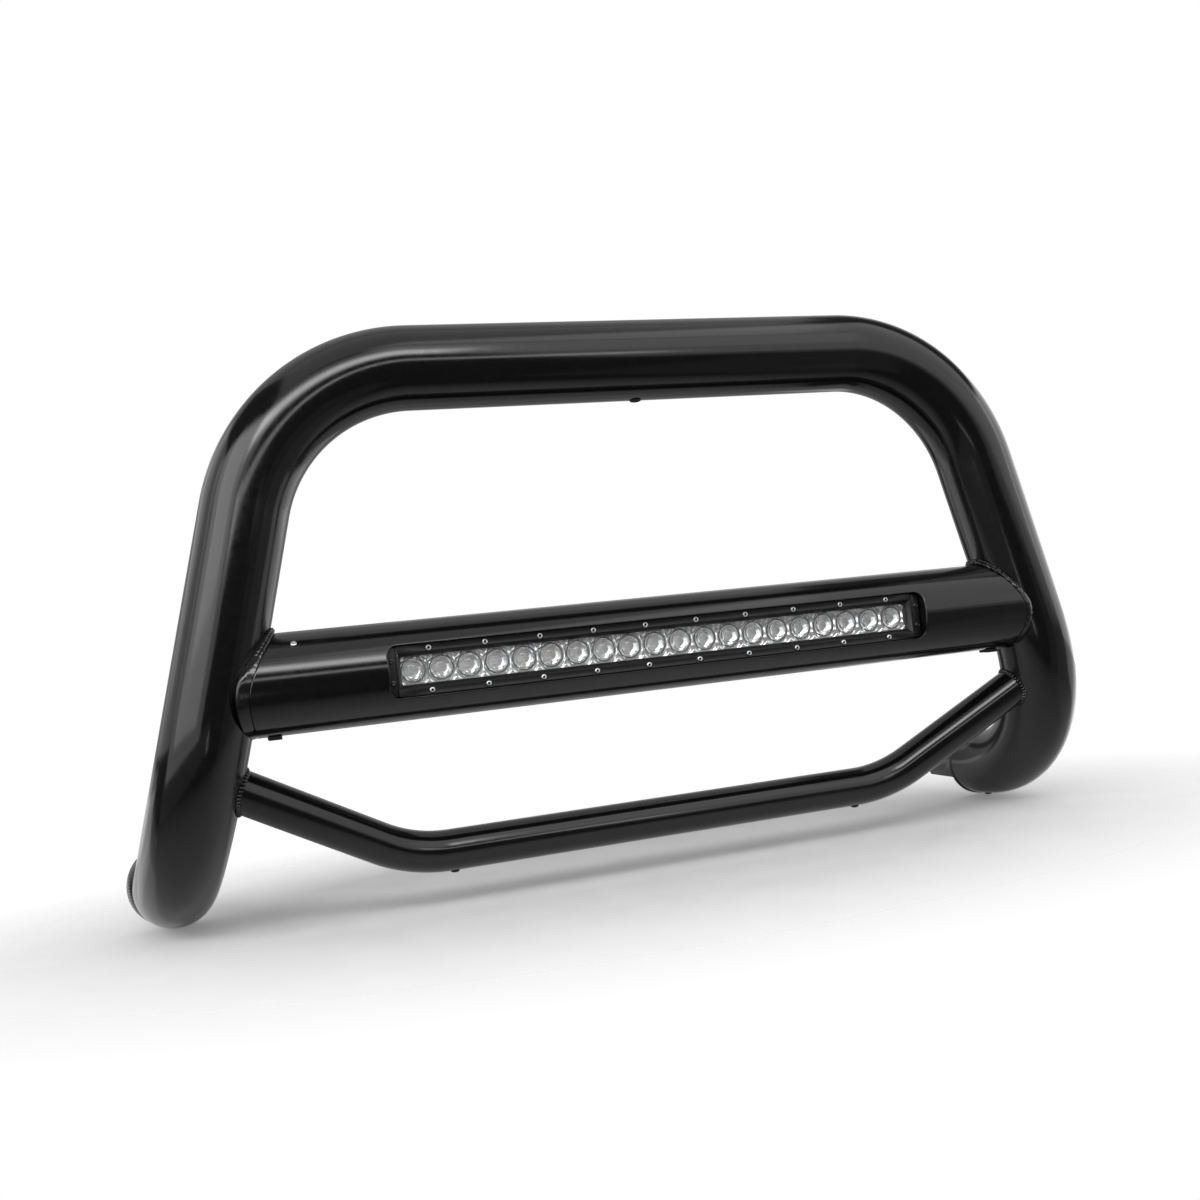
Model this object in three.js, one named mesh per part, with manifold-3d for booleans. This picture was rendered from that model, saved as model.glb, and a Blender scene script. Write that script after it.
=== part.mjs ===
// Front grille guard (bull bar) with a built-in LED light bar.
// Millimetres, +Y towards the vehicle, +Z up, +X to the right as seen from the front.
// Everything is laid out about the axis of the cross tube, at mid width, and the whole group is
// then moved so that the origin is the centre of the guard's box.
import * as THREE from "three";
import { mergeVertices } from "three/addons/utils/BufferGeometryUtils.js";
import Module from "manifold-3d";

const wasm = await Module();
wasm.setup();

// ---------- driving dimensions ----------
const GAP = 0.3;                    // between touching pieces

// main hoop, 3 in tube
const HOOP_R = 38.1;
const HOOP_WALL = 2.5;
const HOOP_SIDES = 20;
const HOOP_TOP_Z = 271;             // axis of the top run above the cross tube
const HOOP_TOP_HALF = 217;          // half length of the straight top run
const HOOP_BEND_R = 158;
const LEG_SPLAY = 14.6;             // degrees from vertical
const LEG_LENGTH = 178;
const ARM_BEND_R = 170;
const ARM_LENGTH = 8;               // straight length after the rearward bend
const END_PLATE = { r: 40.2, thickness: 4, outward: 3.6, sides: 32 };   // overhangs the arm outside

// cross tube, 3.5 in, with the light window
const CROSS_R = 44.45;
const CROSS_WALL = 2.5;
const CROSS_SIDES = 28;
const CROSS_FACE = 23;              // how far inside the leg's axis the coped ends stop
const CROSS_BORE_HALF = 372;        // the bore stops short, so the coped ends are closed
const WINDOW_HALF = 266;
const WINDOW_HALF_H = 22.8;
const WINDOW_CORNER = 9;
const REAR_SLOT = { half: 26, halfHeight: 13, corner: 8, x: 292 };

// lower tube, 1.5 in
const LOWER_R = 19.05;
const LOWER_WALL = 2;
const LOWER_SIDES = 16;
const LOWER_Y = 40.1;
const LOWER_Z = -170.6;
const LOWER_CORNER_X = 248.2;
const LOWER_BEND_R = 129.5;
const LOWER_MEETS = 18;             // degrees round the leg's lower bend where it lands

// mounting tabs
const TAB = { x: 450, thickness: 6, halfHeight: 23, length: 92, chamfer: 9 };
const TAB_SLOT = { halfWidth: 6.5, halfLength: 13, pitch: 42 };

// light bar
const CELLS = 20;
const CELL = 25.4;
const BEZEL = { front: -32, back: -26, half: 257.9, halfHeight: 22.3, chamfer: 1.2 };
const OPENING = { half: 253.4, halfHeight: 12.5 };
const SCREW_ROW = 18.6;
const SCREW = { head: 2.45, headH: 1.3, shank: 1.5, hole: 1.9, length: 11, socket: 1.15 };
const HOUSING = { half: 256.7, halfHeight: 21.4, wall: 5.9, floor: -8.1, back: 0 };
const FINS = { tip: 26, count: 9, thickness: 1.7 };
const LENS = { half: 256, halfHeight: 15.1, front: -24.4, thickness: 2 };
const GASKET_T = 1;
const REFLECTOR = { front: -22.1, back: -11.5, halfHeight: 12.4, mouth: 11.7, throat: 4.2 };
const BOARD = { half: 254, halfHeight: 14.6, front: -10, thickness: 1.6 };
const CAP = { front: -31.6, inner: 258.2, outer: 265.4, boss: 266, bossR: 7, corner: 6 };
const CAP_SCREW = { x: 262, z: 9.5, length: 8 };
const BRACKET = { r: 41.6, inner: 266.3, thickness: 3, flat: 34 };
const GLAND = { r: 8.5, bore: 3.2, length: 21 };
const VENT = { x: 56, r: 5, tipR: 4.2, tip: 5 };
const PIVOT = { r: 3, hole: 3.5, headR: 5.5, headH: 5, socket: 2.9 };

// plugs
const TOP_PLUG = { head: 5.6, headH: 2.2, shank: 4, hole: 4.4, depth: 6 };
const SMALL_PLUG = { head: 4.2, headH: 2.2, shank: 2.7, hole: 3.1, depth: 6 };
const LOWER_PLUG_X = 210.5;
const INSERT = { x: 363, half: 5.8, halfY: 8, headH: 2.6, neck: 4, neckY: 6, depth: 8 };
const BLANK_SCREW = { x: -342.5, angle: 42, head: 2.7, headH: 1.6, shank: 1.5, hole: 1.9, depth: 6 };

// ---------- materials ----------
const FINISH = {
  powderCoat: { color: 0x141414, roughness: 0.35, metalness: 0.3 },
  blackAlloy: { color: 0x1b1b1c, roughness: 0.5, metalness: 0.4 },
  chrome: { color: 0xd8dadc, roughness: 0.12, metalness: 1 },
  clear: { color: 0xf2f5f7, roughness: 0.05, metalness: 0, transparent: true, opacity: 0.3 },
  steel: { color: 0xc9cbcd, roughness: 0.3, metalness: 1 },
  rubber: { color: 0x0e0e0e, roughness: 0.8, metalness: 0 },
  board: { color: 0xe6e6e0, roughness: 0.6, metalness: 0 },
};

// ---------- geometry helpers ----------
const V = (x, y, z) => new THREE.Vector3(x, y, z);
const radians = THREE.MathUtils.degToRad;

function solid(geometry) {
  const plain = geometry.clone();
  plain.deleteAttribute("normal");
  plain.deleteAttribute("uv");
  const merged = mergeVertices(plain, 1e-4);
  return new wasm.Manifold(new wasm.Mesh({
    numProp: 3,
    vertProperties: new Float32Array(merged.attributes.position.array),
    triVerts: new Uint32Array(merged.index.array),
  }));
}

function geometryOf(manifold) {
  const mesh = manifold.getMesh();
  const geometry = new THREE.BufferGeometry();
  geometry.setAttribute("position", new THREE.BufferAttribute(new Float32Array(mesh.vertProperties), 3));
  geometry.setIndex(new THREE.BufferAttribute(new Uint32Array(mesh.triVerts), 1));
  geometry.computeVertexNormals();
  return geometry;
}

function box(lowX, highX, lowY, highY, lowZ, highZ) {
  const geometry = new THREE.BoxGeometry(highX - lowX, highY - lowY, highZ - lowZ);
  geometry.translate((lowX + highX) / 2, (lowY + highY) / 2, (lowZ + highZ) / 2);
  return geometry;
}

// A cylinder or cone between two points; the first radius is at the start.
function rod(start, end, startR, endR = startR, sides = 16) {
  const axis = end.clone().sub(start);
  const geometry = new THREE.CylinderGeometry(endR, startR, axis.length(), sides);
  geometry.applyQuaternion(new THREE.Quaternion().setFromUnitVectors(V(0, 1, 0), axis.normalize()));
  const middle = start.clone().add(end).multiplyScalar(0.5);
  geometry.translate(middle.x, middle.y, middle.z);
  return geometry;
}

function roundedRect(half, halfHeight, corner) {
  const shape = new THREE.Shape();
  shape.moveTo(half - corner, -halfHeight);
  shape.absarc(half - corner, -halfHeight + corner, corner, -Math.PI / 2, 0);
  shape.absarc(half - corner, halfHeight - corner, corner, 0, Math.PI / 2);
  shape.absarc(-half + corner, halfHeight - corner, corner, Math.PI / 2, Math.PI);
  shape.absarc(-half + corner, -halfHeight + corner, corner, Math.PI, Math.PI * 1.5);
  return shape;
}

// Extrudes a shape drawn in X and Z along Y, from low to high.
function prismY(shape, low, high, curveSegments = 4) {
  const options = { depth: high - low, bevelEnabled: false, curveSegments };
  const geometry = new THREE.ExtrudeGeometry(shape, options);
  geometry.rotateX(Math.PI / 2);
  geometry.translate(0, high, 0);
  return geometry;
}

// Extrudes an outline of [y, z] points along X.
function prismX(outline, low, high) {
  const shape = new THREE.Shape(outline.map(([y, z]) => new THREE.Vector2(y, z)));
  const geometry = new THREE.ExtrudeGeometry(shape, { depth: high - low, bevelEnabled: false });
  geometry.applyMatrix4(new THREE.Matrix4().makeBasis(V(0, 1, 0), V(0, 0, 1), V(1, 0, 0)));
  geometry.translate(low, 0, 0);
  return geometry;
}

// A path of given stations, so that straight runs take one step and bends take many.
class StationPath extends THREE.Curve {
  constructor(stations) {
    super();
    this.stations = stations;
  }
  at(u) {
    return this.stations[Math.round(u * (this.stations.length - 1))];
  }
  getPointAt(u) {
    return this.at(u).point.clone();
  }
  getPoint(u) {
    return this.getPointAt(u);
  }
  getTangentAt(u) {
    return this.at(u).tangent.clone();
  }
}

function sweep(stations, outerR, innerR, sides) {
  const ring = (r) => Array.from({ length: sides }, (_, i) => {
    const a = (2 * Math.PI * i) / sides;
    return new THREE.Vector2(r * Math.cos(a), r * Math.sin(a));
  });
  const shape = new THREE.Shape(ring(outerR));
  if (innerR > 0) {
    shape.holes.push(new THREE.Path(ring(innerR)));
  }
  const path = new StationPath(stations);
  return new THREE.ExtrudeGeometry(shape, { steps: stations.length - 1, extrudePath: path });
}

// Stations round a bend that starts at a point heading one way and ends heading another.
function bend(start, from, to, radius, steps) {
  const angle = from.angleTo(to);
  const inward = to.clone().addScaledVector(from, -from.dot(to)).normalize();
  const stations = [];
  for (let i = 0; i <= steps; i += 1) {
    const a = (angle * i) / steps;
    const point = start.clone()
      .addScaledVector(from, radius * Math.sin(a))
      .addScaledVector(inward, radius * (1 - Math.cos(a)));
    const tangent = from.clone().multiplyScalar(Math.cos(a)).addScaledVector(inward, Math.sin(a));
    stations.push({ point, tangent });
  }
  return stations;
}

// Adds the mirror image of a half path that starts at mid width.
function bothSides(half) {
  const flip = (v) => V(-v.x, v.y, v.z);
  const mirrored = half.map(({ point, tangent }) => ({
    point: flip(point),
    tangent: flip(tangent).negate(),
  }));
  return [...mirrored.reverse(), ...half];
}

// ---------- the three tubes' centre lines ----------
const LEG_DIRECTION = V(Math.sin(radians(LEG_SPLAY)), 0, -Math.cos(radians(LEG_SPLAY)));
const REARWARD = V(0, 1, 0);

function hoopHalf() {
  const topBend = bend(V(HOOP_TOP_HALF, 0, HOOP_TOP_Z), V(1, 0, 0), LEG_DIRECTION, HOOP_BEND_R, 9);
  const legEnd = topBend.at(-1).point.clone().addScaledVector(LEG_DIRECTION, LEG_LENGTH);
  const armBend = bend(legEnd, LEG_DIRECTION, REARWARD, ARM_BEND_R, 10);
  const armEnd = armBend.at(-1).point.clone().addScaledVector(REARWARD, ARM_LENGTH);
  return [...topBend, ...armBend, { point: armEnd, tangent: REARWARD.clone() }];
}

const HOOP = hoopHalf();
const LEG_BOTTOM = HOOP[10].point;   // where the straight leg ends
const ARM_END = HOOP.at(-1).point;

function lowerHalf() {
  const landing = bend(LEG_BOTTOM, LEG_DIRECTION, REARWARD, ARM_BEND_R, 90)[LOWER_MEETS].point;
  const corner = V(LOWER_CORNER_X, LOWER_Y, LOWER_Z);
  const rise = landing.clone().sub(corner).normalize();
  const setBack = LOWER_BEND_R * Math.tan(rise.angleTo(V(1, 0, 0)) / 2);
  const start = corner.clone().addScaledVector(V(1, 0, 0), -setBack);
  const stations = bend(start, V(1, 0, 0), rise, LOWER_BEND_R, 5);
  stations.push({ point: landing, tangent: rise });
  return stations;
}

const LOWER = lowerHalf();

// ---------- guard pieces ----------
const hoopCutter = solid(sweep(bothSides(HOOP), HOOP_R + GAP, 0, HOOP_SIDES));

function drill(manifold, point, direction, radius) {
  const start = point.clone().addScaledVector(direction, -12);
  const end = point.clone().addScaledVector(direction, 12);
  return manifold.subtract(solid(rod(start, end, radius, radius, 12)));
}

function hoopTube() {
  let tube = solid(sweep(bothSides(HOOP), HOOP_R, HOOP_R - HOOP_WALL, HOOP_SIDES));
  tube = drill(tube, V(0, 0, HOOP_TOP_Z - HOOP_R), V(0, 0, 1), TOP_PLUG.hole);
  for (const side of [-1, 1]) {
    tube = drill(tube, armPlugPoint(side), V(0, 0, 1), SMALL_PLUG.hole);
  }
  return geometryOf(tube);
}

function armPlugPoint(side) {
  return V(side * ARM_END.x, ARM_END.y - ARM_LENGTH - 6, ARM_END.z - HOOP_R);
}

function rodX(half, radius, sides) {
  return solid(rod(V(-half, 0, 0), V(half, 0, 0), radius, radius, sides));
}

// A round bar along the axis, between two distances from mid width.
function sideRod(side, from, to, radius, sides = 16) {
  return solid(rod(V(side * from, 0, 0), V(side * to, 0, 0), radius, radius, sides));
}

// Everything beyond a plane along the leg, a set distance inside the leg's axis.
function beyondLeg(side) {
  const block = box(-CROSS_FACE, 200, -90, 90, -200, 200);
  block.rotateY(-radians(LEG_SPLAY));
  const axisX = LEG_BOTTOM.x + LEG_BOTTOM.z * Math.tan(radians(LEG_SPLAY));
  block.translate(axisX, 0, 0);
  if (side < 0) {
    block.rotateZ(Math.PI);
  }
  return solid(block);
}

function blankScrewDirection() {
  const a = radians(BLANK_SCREW.angle);
  return V(0, -Math.sin(a), Math.cos(a));
}

function crossTube() {
  let tube = rodX(LEG_BOTTOM.x, CROSS_R, CROSS_SIDES);
  tube = tube.subtract(rodX(CROSS_BORE_HALF, CROSS_R - CROSS_WALL, CROSS_SIDES)).subtract(hoopCutter);
  for (const side of [-1, 1]) {
    tube = tube.subtract(beyondLeg(side));
    tube = tube.subtract(solid(box(
      side * INSERT.x - INSERT.neck - GAP, side * INSERT.x + INSERT.neck + GAP,
      -INSERT.neckY - GAP, INSERT.neckY + GAP, -CROSS_R - 5, -CROSS_R + 10,
    )));
  }
  const window = roundedRect(WINDOW_HALF, WINDOW_HALF_H, WINDOW_CORNER);
  tube = tube.subtract(solid(prismY(window, -CROSS_R - 5, 0, 5)));
  for (const x of [-REAR_SLOT.x, 0, REAR_SLOT.x]) {
    const round = roundedRect(REAR_SLOT.half, REAR_SLOT.halfHeight, REAR_SLOT.corner);
    const slot = prismY(round, 20, CROSS_R + 5, 3);
    slot.translate(x, 0, 0);
    tube = tube.subtract(solid(slot));
  }
  const screw = blankScrewDirection();
  const seat = screw.clone().multiplyScalar(CROSS_R).setX(BLANK_SCREW.x);
  return geometryOf(drill(tube, seat, screw, BLANK_SCREW.hole));
}

function lowerTube() {
  let tube = solid(sweep(bothSides(LOWER), LOWER_R, LOWER_R - LOWER_WALL, LOWER_SIDES));
  tube = tube.subtract(hoopCutter);
  for (const side of [-1, 1]) {
    const plug = V(side * LOWER_PLUG_X, LOWER_Y, LOWER_Z - LOWER_R);
    tube = drill(tube, plug, V(0, 0, 1), SMALL_PLUG.hole);
  }
  return geometryOf(tube);
}

function endPlate(side) {
  const y = ARM_END.y + GAP;
  const { r, thickness, outward, sides } = END_PLATE;
  const disc = rod(V(0, y, 0), V(0, y + thickness, 0), r, r, sides);
  disc.translate(side * (ARM_END.x + outward), 0, ARM_END.z);
  return disc;
}

function tabStart() {
  return ARM_END.y + END_PLATE.thickness + 2 * GAP;
}

function mountTab(side) {
  const { halfHeight: h, length, chamfer: c } = TAB;
  const y = tabStart();
  const outline = [[y, -h], [y + length - c, -h], [y + length, -h + c],
    [y + length, h - c], [y + length - c, h], [y, h]];
  const x = side * TAB.x;
  let plate = solid(prismX(outline, x - TAB.thickness / 2, x + TAB.thickness / 2));
  for (const step of [-0.5, 0.5]) {
    const round = roundedRect(TAB_SLOT.halfLength, TAB_SLOT.halfWidth, TAB_SLOT.halfWidth - 0.01);
    const slot = prismY(round, -20, 20, 3);
    slot.rotateZ(Math.PI / 2);
    slot.translate(x, y + length / 2 + step * TAB_SLOT.pitch, 0);
    plate = plate.subtract(solid(slot));
  }
  return geometryOf(plate.translate([0, 0, ARM_END.z]));
}

// A push-in plug with a domed head, pointing down, with its head's top at the origin.
function plug({ head, headH, shank, depth }) {
  const profile = [[0, -headH], [head * 0.7, -headH], [head, -headH * 0.45], [head, -GAP],
    [shank, -GAP], [shank, depth], [0, depth]];
  const lathe = new THREE.LatheGeometry(profile.map(([r, z]) => new THREE.Vector2(r, z)), 12);
  lathe.rotateX(Math.PI / 2);
  return geometryOf(solid(lathe));
}

function crossInsert() {
  const { half, halfY, headH, neck: neckX, neckY, depth } = INSERT;
  const head = solid(box(-half, half, -halfY, halfY, -GAP - headH, -GAP));
  const neck = solid(box(-neckX, neckX, -neckY, neckY, -GAP - 1, depth));
  return geometryOf(head.add(neck));
}

// A button-head socket screw along +Y: the head sits in front of y = 0 and the shank behind it.
function socketScrew({ head, headH, shank, length, socket }) {
  const cap = solid(rod(V(0, -headH, 0), V(0, 0, 0), head * 0.8, head, 10));
  const thread = solid(rod(V(0, -0.1, 0), V(0, length, 0), shank, shank, 6));
  const key = solid(rod(V(0, -headH - 1, 0), V(0, -headH * 0.35, 0), socket, socket, 6));
  return geometryOf(cap.add(thread).subtract(key));
}

function blankScrew() {
  const { head, headH, shank, depth } = BLANK_SCREW;
  const screw = socketScrew({ head, headH, shank, length: depth, socket: 1.1 });
  const inward = blankScrewDirection().negate();
  screw.applyQuaternion(new THREE.Quaternion().setFromUnitVectors(V(0, 1, 0), inward));
  const seat = inward.multiplyScalar(-CROSS_R - GAP);
  screw.translate(BLANK_SCREW.x, seat.y, seat.z);
  return screw;
}

function lightBracket(side) {
  const low = Math.min(side * BRACKET.inner, side * (BRACKET.inner + BRACKET.thickness));
  const high = low + BRACKET.thickness;
  let plate = solid(rod(V(low, 0, 0), V(high, 0, 0), BRACKET.r, BRACKET.r, CROSS_SIDES));
  plate = plate.subtract(solid(box(low - 1, low + 9, -60, 60, -60, -BRACKET.flat)));
  plate = plate.subtract(solid(rod(V(low - 1, 0, 0), V(low + 9, 0, 0), PIVOT.hole, PIVOT.hole, 16)));
  return geometryOf(plate);
}

function pivotBolt(side) {
  const outer = BRACKET.inner + BRACKET.thickness + GAP;
  const head = sideRod(side, outer, outer + PIVOT.headH, PIVOT.headR);
  const shank = sideRod(side, CAP.inner + GAP, outer + 1, PIVOT.r);
  const key = sideRod(side, outer + 2, outer + PIVOT.headH + 1, PIVOT.socket, 6);
  return geometryOf(head.add(shank).subtract(key));
}

// ---------- light bar pieces ----------
const screwX = (i) => (i - 4.5) * 2 * CELL;

function housing() {
  const { half, halfHeight: h, wall, floor, back } = HOUSING;
  const { tip: finTip, count: fins, thickness: finT } = FINS;
  const front = BEZEL.back + GAP;
  const inner = h - wall;
  const outline = [[front, -h], [front, -inner], [floor, -inner],
    [floor, inner], [front, inner], [front, h]];
  const pitch = (2 * h - finT) / (fins - 1);
  for (let i = fins - 1; i >= 0; i -= 1) {
    const z = -h + finT / 2 + i * pitch;
    outline.push([finTip, z + finT / 2], [finTip, z - finT / 2]);
    if (i > 0) {
      outline.push([back, z - finT / 2], [back, z - pitch + finT / 2]);
    }
  }
  let body = solid(prismX(outline, -half, half));
  for (const [x, room] of [[0, GLAND.r + 1.5], [VENT.x, VENT.r + 1]]) {
    body = body.subtract(solid(box(x - room, x + room, back, finTip + 1, -room, room)));
  }
  for (let i = 0; i < CELLS / 2; i += 1) {
    for (const z of [-SCREW_ROW, SCREW_ROW]) {
      const hole = rod(V(screwX(i), front - 1, z), V(screwX(i), front + 7, z), SCREW.hole, SCREW.hole, 8);
      body = body.subtract(solid(hole));
    }
  }
  return geometryOf(body);
}

function bezel() {
  const { front, back, half, halfHeight, chamfer } = BEZEL;
  const outline = [[back, -halfHeight], [back, halfHeight], [front + chamfer, halfHeight],
    [front, halfHeight - chamfer], [front, -halfHeight + chamfer], [front + chamfer, -halfHeight]];
  let frame = solid(prismX(outline, -half, half));
  const { half: wide, halfHeight: high } = OPENING;
  frame = frame.subtract(solid(box(-wide, wide, front - 5, back + 5, -high, high)));
  for (let i = 0; i < CELLS / 2; i += 1) {
    for (const z of [-SCREW_ROW, SCREW_ROW]) {
      const hole = rod(V(screwX(i), front - 1, z), V(screwX(i), back + 1, z), SCREW.hole, SCREW.hole, 8);
      frame = frame.subtract(solid(hole));
    }
  }
  return geometryOf(frame);
}

function lens() {
  const { half, halfHeight, front, thickness } = LENS;
  return box(-half, half, front, front + thickness, -halfHeight, halfHeight);
}

function lensGasket() {
  const back = LENS.front - GAP;
  const rim = 0.6;
  const outer = box(-LENS.half, LENS.half, back - GASKET_T, back, -LENS.halfHeight, LENS.halfHeight);
  const inner = box(-OPENING.half - rim, OPENING.half + rim, back - 5, back + 5,
    -OPENING.halfHeight - rim, OPENING.halfHeight + rim);
  return geometryOf(solid(outer).subtract(solid(inner)));
}

const cellX = (i) => (i - (CELLS - 1) / 2) * CELL;

function ledBoard() {
  const { half, halfHeight, front, thickness } = BOARD;
  let board = solid(box(-half, half, front, front + thickness, -halfHeight, halfHeight));
  for (let i = 0; i < CELLS; i += 1) {
    board = board.add(solid(box(cellX(i) - 1.8, cellX(i) + 1.8, front - 0.9, front + 0.5, -1.8, 1.8)));
  }
  return geometryOf(board);
}

// Four reflector cells moulded as one strip.
function reflector(strip) {
  const { front, back, halfHeight, mouth, throat } = REFLECTOR;
  const low = (strip * 4 - CELLS / 2) * CELL;
  let block = solid(box(low + GAP / 2, low + 4 * CELL - GAP / 2, front, back, -halfHeight, halfHeight));
  for (let i = 0; i < 4; i += 1) {
    const x = low + (i + 0.5) * CELL;
    const slope = (mouth - throat) / (back - front);
    const bowl = rod(V(x, front - 1, 0), V(x, back + 1, 0), mouth + slope, throat - slope, 20);
    block = block.subtract(solid(bowl));
  }
  return geometryOf(block);
}

function capOutline(front) {
  const h = HOUSING.halfHeight;
  const tip = FINS.tip;
  const c = CAP.corner;
  return [[front, -h], [tip - c, -h], [tip, -h + c], [tip, h - c], [tip - c, h], [front, h]];
}

function endCap(side) {
  const low = Math.min(side * CAP.inner, side * CAP.outer);
  let cap = solid(prismX(capOutline(CAP.front), low, low + CAP.outer - CAP.inner));
  cap = cap.add(sideRod(side, CAP.outer - 1, CAP.boss, CAP.bossR));
  cap = cap.subtract(sideRod(side, CAP.inner - 1, CAP.boss + 1, PIVOT.hole));
  for (const z of [-CAP_SCREW.z, CAP_SCREW.z]) {
    const start = V(side * CAP_SCREW.x, CAP.front - 1, z);
    const end = V(side * CAP_SCREW.x, CAP.front + CAP_SCREW.length + 1, z);
    cap = cap.subtract(solid(rod(start, end, SCREW.hole, SCREW.hole, 8)));
  }
  return geometryOf(cap);
}

function endGasket(side) {
  const inner = HOUSING.half + GAP;
  const thickness = CAP.inner - GAP - inner;
  const low = Math.min(side * inner, side * (inner + thickness));
  let sheet = solid(prismX(capOutline(BEZEL.back + 2 * GAP), low, low + thickness));
  sheet = sheet.subtract(solid(rod(V(low - 3, 0, 0), V(low + 3, 0, 0), PIVOT.hole, PIVOT.hole, 16)));
  return geometryOf(sheet);
}

function capScrew() {
  return socketScrew({ ...SCREW, length: CAP_SCREW.length });
}

// A gland on the back of the housing, with a blind bore for the lead.
function cableGland() {
  const { r, bore, length } = GLAND;
  const neck = r - 2;
  const tip = r - 3.5;
  const outline = [[0, 0], [r, 0], [r, 7], [neck, 7], [neck, length - 4], [tip, length],
    [bore, length], [bore, 9], [0, 9]];
  const lathe = new THREE.LatheGeometry(outline.map(([r, y]) => new THREE.Vector2(r, y)), 12);
  const gland = solid(lathe);
  return geometryOf(gland.translate([0, HOUSING.back + GAP, 0]));
}

function breather() {
  const { x, r, tipR, tip } = VENT;
  return rod(V(x, HOUSING.back + GAP, 0), V(x, HOUSING.back + tip, 0), r, tipR, 12);
}

// ---------- assembly ----------
const guard = new THREE.Group();
const lightBar = new THREE.Group();
guard.add(lightBar);

function put(group, name, geometry, finish, position = V(0, 0, 0)) {
  const mesh = new THREE.Mesh(geometry, new THREE.MeshStandardMaterial(FINISH[finish]));
  mesh.name = name;
  mesh.position.copy(position);
  group.add(mesh);
}

function addFrame() {
  put(guard, "hoop_tube", hoopTube(), "powderCoat");
  put(guard, "cross_tube", crossTube(), "powderCoat");
  put(guard, "lower_tube", lowerTube(), "powderCoat");
  put(guard, "top_drain_plug", plug(TOP_PLUG), "rubber", V(0, 0, HOOP_TOP_Z - HOOP_R));
  put(guard, "cross_blank_screw", blankScrew(), "steel");
  for (const [side, word] of [[-1, "left"], [1, "right"]]) {
    put(guard, `end_plate_${word}`, endPlate(side), "powderCoat");
    put(guard, `mount_tab_${word}`, mountTab(side), "powderCoat");
    put(guard, `arm_plug_${word}`, plug(SMALL_PLUG), "rubber", armPlugPoint(side));
    const lower = V(side * LOWER_PLUG_X, LOWER_Y, LOWER_Z - LOWER_R);
    put(guard, `lower_plug_${word}`, plug(SMALL_PLUG), "rubber", lower);
    put(guard, `cross_insert_${word}`, crossInsert(), "rubber", V(side * INSERT.x, 0, -CROSS_R));
    put(guard, `light_bracket_${word}`, lightBracket(side), "powderCoat");
    put(guard, `pivot_bolt_${word}`, pivotBolt(side), "steel");
  }
}

function addLightBar() {
  put(lightBar, "light_housing", housing(), "blackAlloy");
  put(lightBar, "light_bezel", bezel(), "blackAlloy");
  put(lightBar, "clear_lens", lens(), "clear");
  put(lightBar, "lens_gasket", lensGasket(), "rubber");
  put(lightBar, "led_board", ledBoard(), "board");
  put(lightBar, "cable_gland", cableGland(), "rubber");
  put(lightBar, "breather_vent", breather(), "rubber");
  for (let strip = 0; strip < CELLS / 4; strip += 1) {
    put(lightBar, `reflector_${strip + 1}`, reflector(strip), "chrome");
  }
  for (const [side, word] of [[-1, "left"], [1, "right"]]) {
    put(lightBar, `light_end_cap_${word}`, endCap(side), "blackAlloy");
    put(lightBar, `end_gasket_${word}`, endGasket(side), "rubber");
    for (const [z, level] of [[CAP_SCREW.z, "upper"], [-CAP_SCREW.z, "lower"]]) {
      const seat = V(side * CAP_SCREW.x, CAP.front - GAP, z);
      put(lightBar, `cap_screw_${word}_${level}`, capScrew(), "steel", seat);
    }
  }
  for (let i = 0; i < CELLS; i += 1) {
    const z = i < CELLS / 2 ? SCREW_ROW : -SCREW_ROW;
    const name = `bezel_screw_${String(i + 1).padStart(2, "0")}`;
    put(lightBar, name, socketScrew(SCREW), "steel", V(screwX(i % (CELLS / 2)), BEZEL.front - GAP, z));
  }
}

addFrame();
addLightBar();

const FRONT = -CROSS_R;
const REAR = tabStart() + TAB.length;
const TOP = HOOP_TOP_Z + HOOP_R;
const BOTTOM = ARM_END.z - HOOP_R - SMALL_PLUG.headH;
guard.position.set(0, -(FRONT + REAR) / 2, -(TOP + BOTTOM) / 2);

export default guard;
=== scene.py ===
import math

import bmesh
import bpy
import numpy as np
from mathutils import Matrix, Vector

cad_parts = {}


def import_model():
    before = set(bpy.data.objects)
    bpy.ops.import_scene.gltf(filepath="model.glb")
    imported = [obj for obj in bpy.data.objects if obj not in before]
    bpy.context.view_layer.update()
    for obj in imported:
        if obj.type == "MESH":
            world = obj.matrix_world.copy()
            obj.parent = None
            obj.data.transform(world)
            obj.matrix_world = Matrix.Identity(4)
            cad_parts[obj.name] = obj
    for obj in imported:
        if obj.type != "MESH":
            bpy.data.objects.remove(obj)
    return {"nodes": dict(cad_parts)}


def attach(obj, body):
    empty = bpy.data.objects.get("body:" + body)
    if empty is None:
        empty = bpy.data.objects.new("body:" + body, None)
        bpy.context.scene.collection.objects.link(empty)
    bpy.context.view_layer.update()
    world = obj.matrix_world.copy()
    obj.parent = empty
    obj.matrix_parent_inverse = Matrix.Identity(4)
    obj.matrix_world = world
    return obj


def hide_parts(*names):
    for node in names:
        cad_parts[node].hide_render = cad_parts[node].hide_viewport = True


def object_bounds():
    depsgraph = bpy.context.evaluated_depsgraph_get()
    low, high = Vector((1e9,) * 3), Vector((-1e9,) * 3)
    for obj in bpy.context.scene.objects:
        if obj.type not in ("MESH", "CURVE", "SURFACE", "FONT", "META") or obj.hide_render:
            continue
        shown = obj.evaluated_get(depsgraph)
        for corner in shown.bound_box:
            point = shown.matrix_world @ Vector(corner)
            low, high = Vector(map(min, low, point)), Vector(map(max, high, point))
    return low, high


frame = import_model()
cad_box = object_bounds()

# ---------- the guard's own dimensions, in millimetres about the cross tube's axis ----------
MM = 0.001
AXIS = np.array([0.0, -0.115075, -0.042435])   # the cross tube's axis at mid width, in metres

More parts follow.
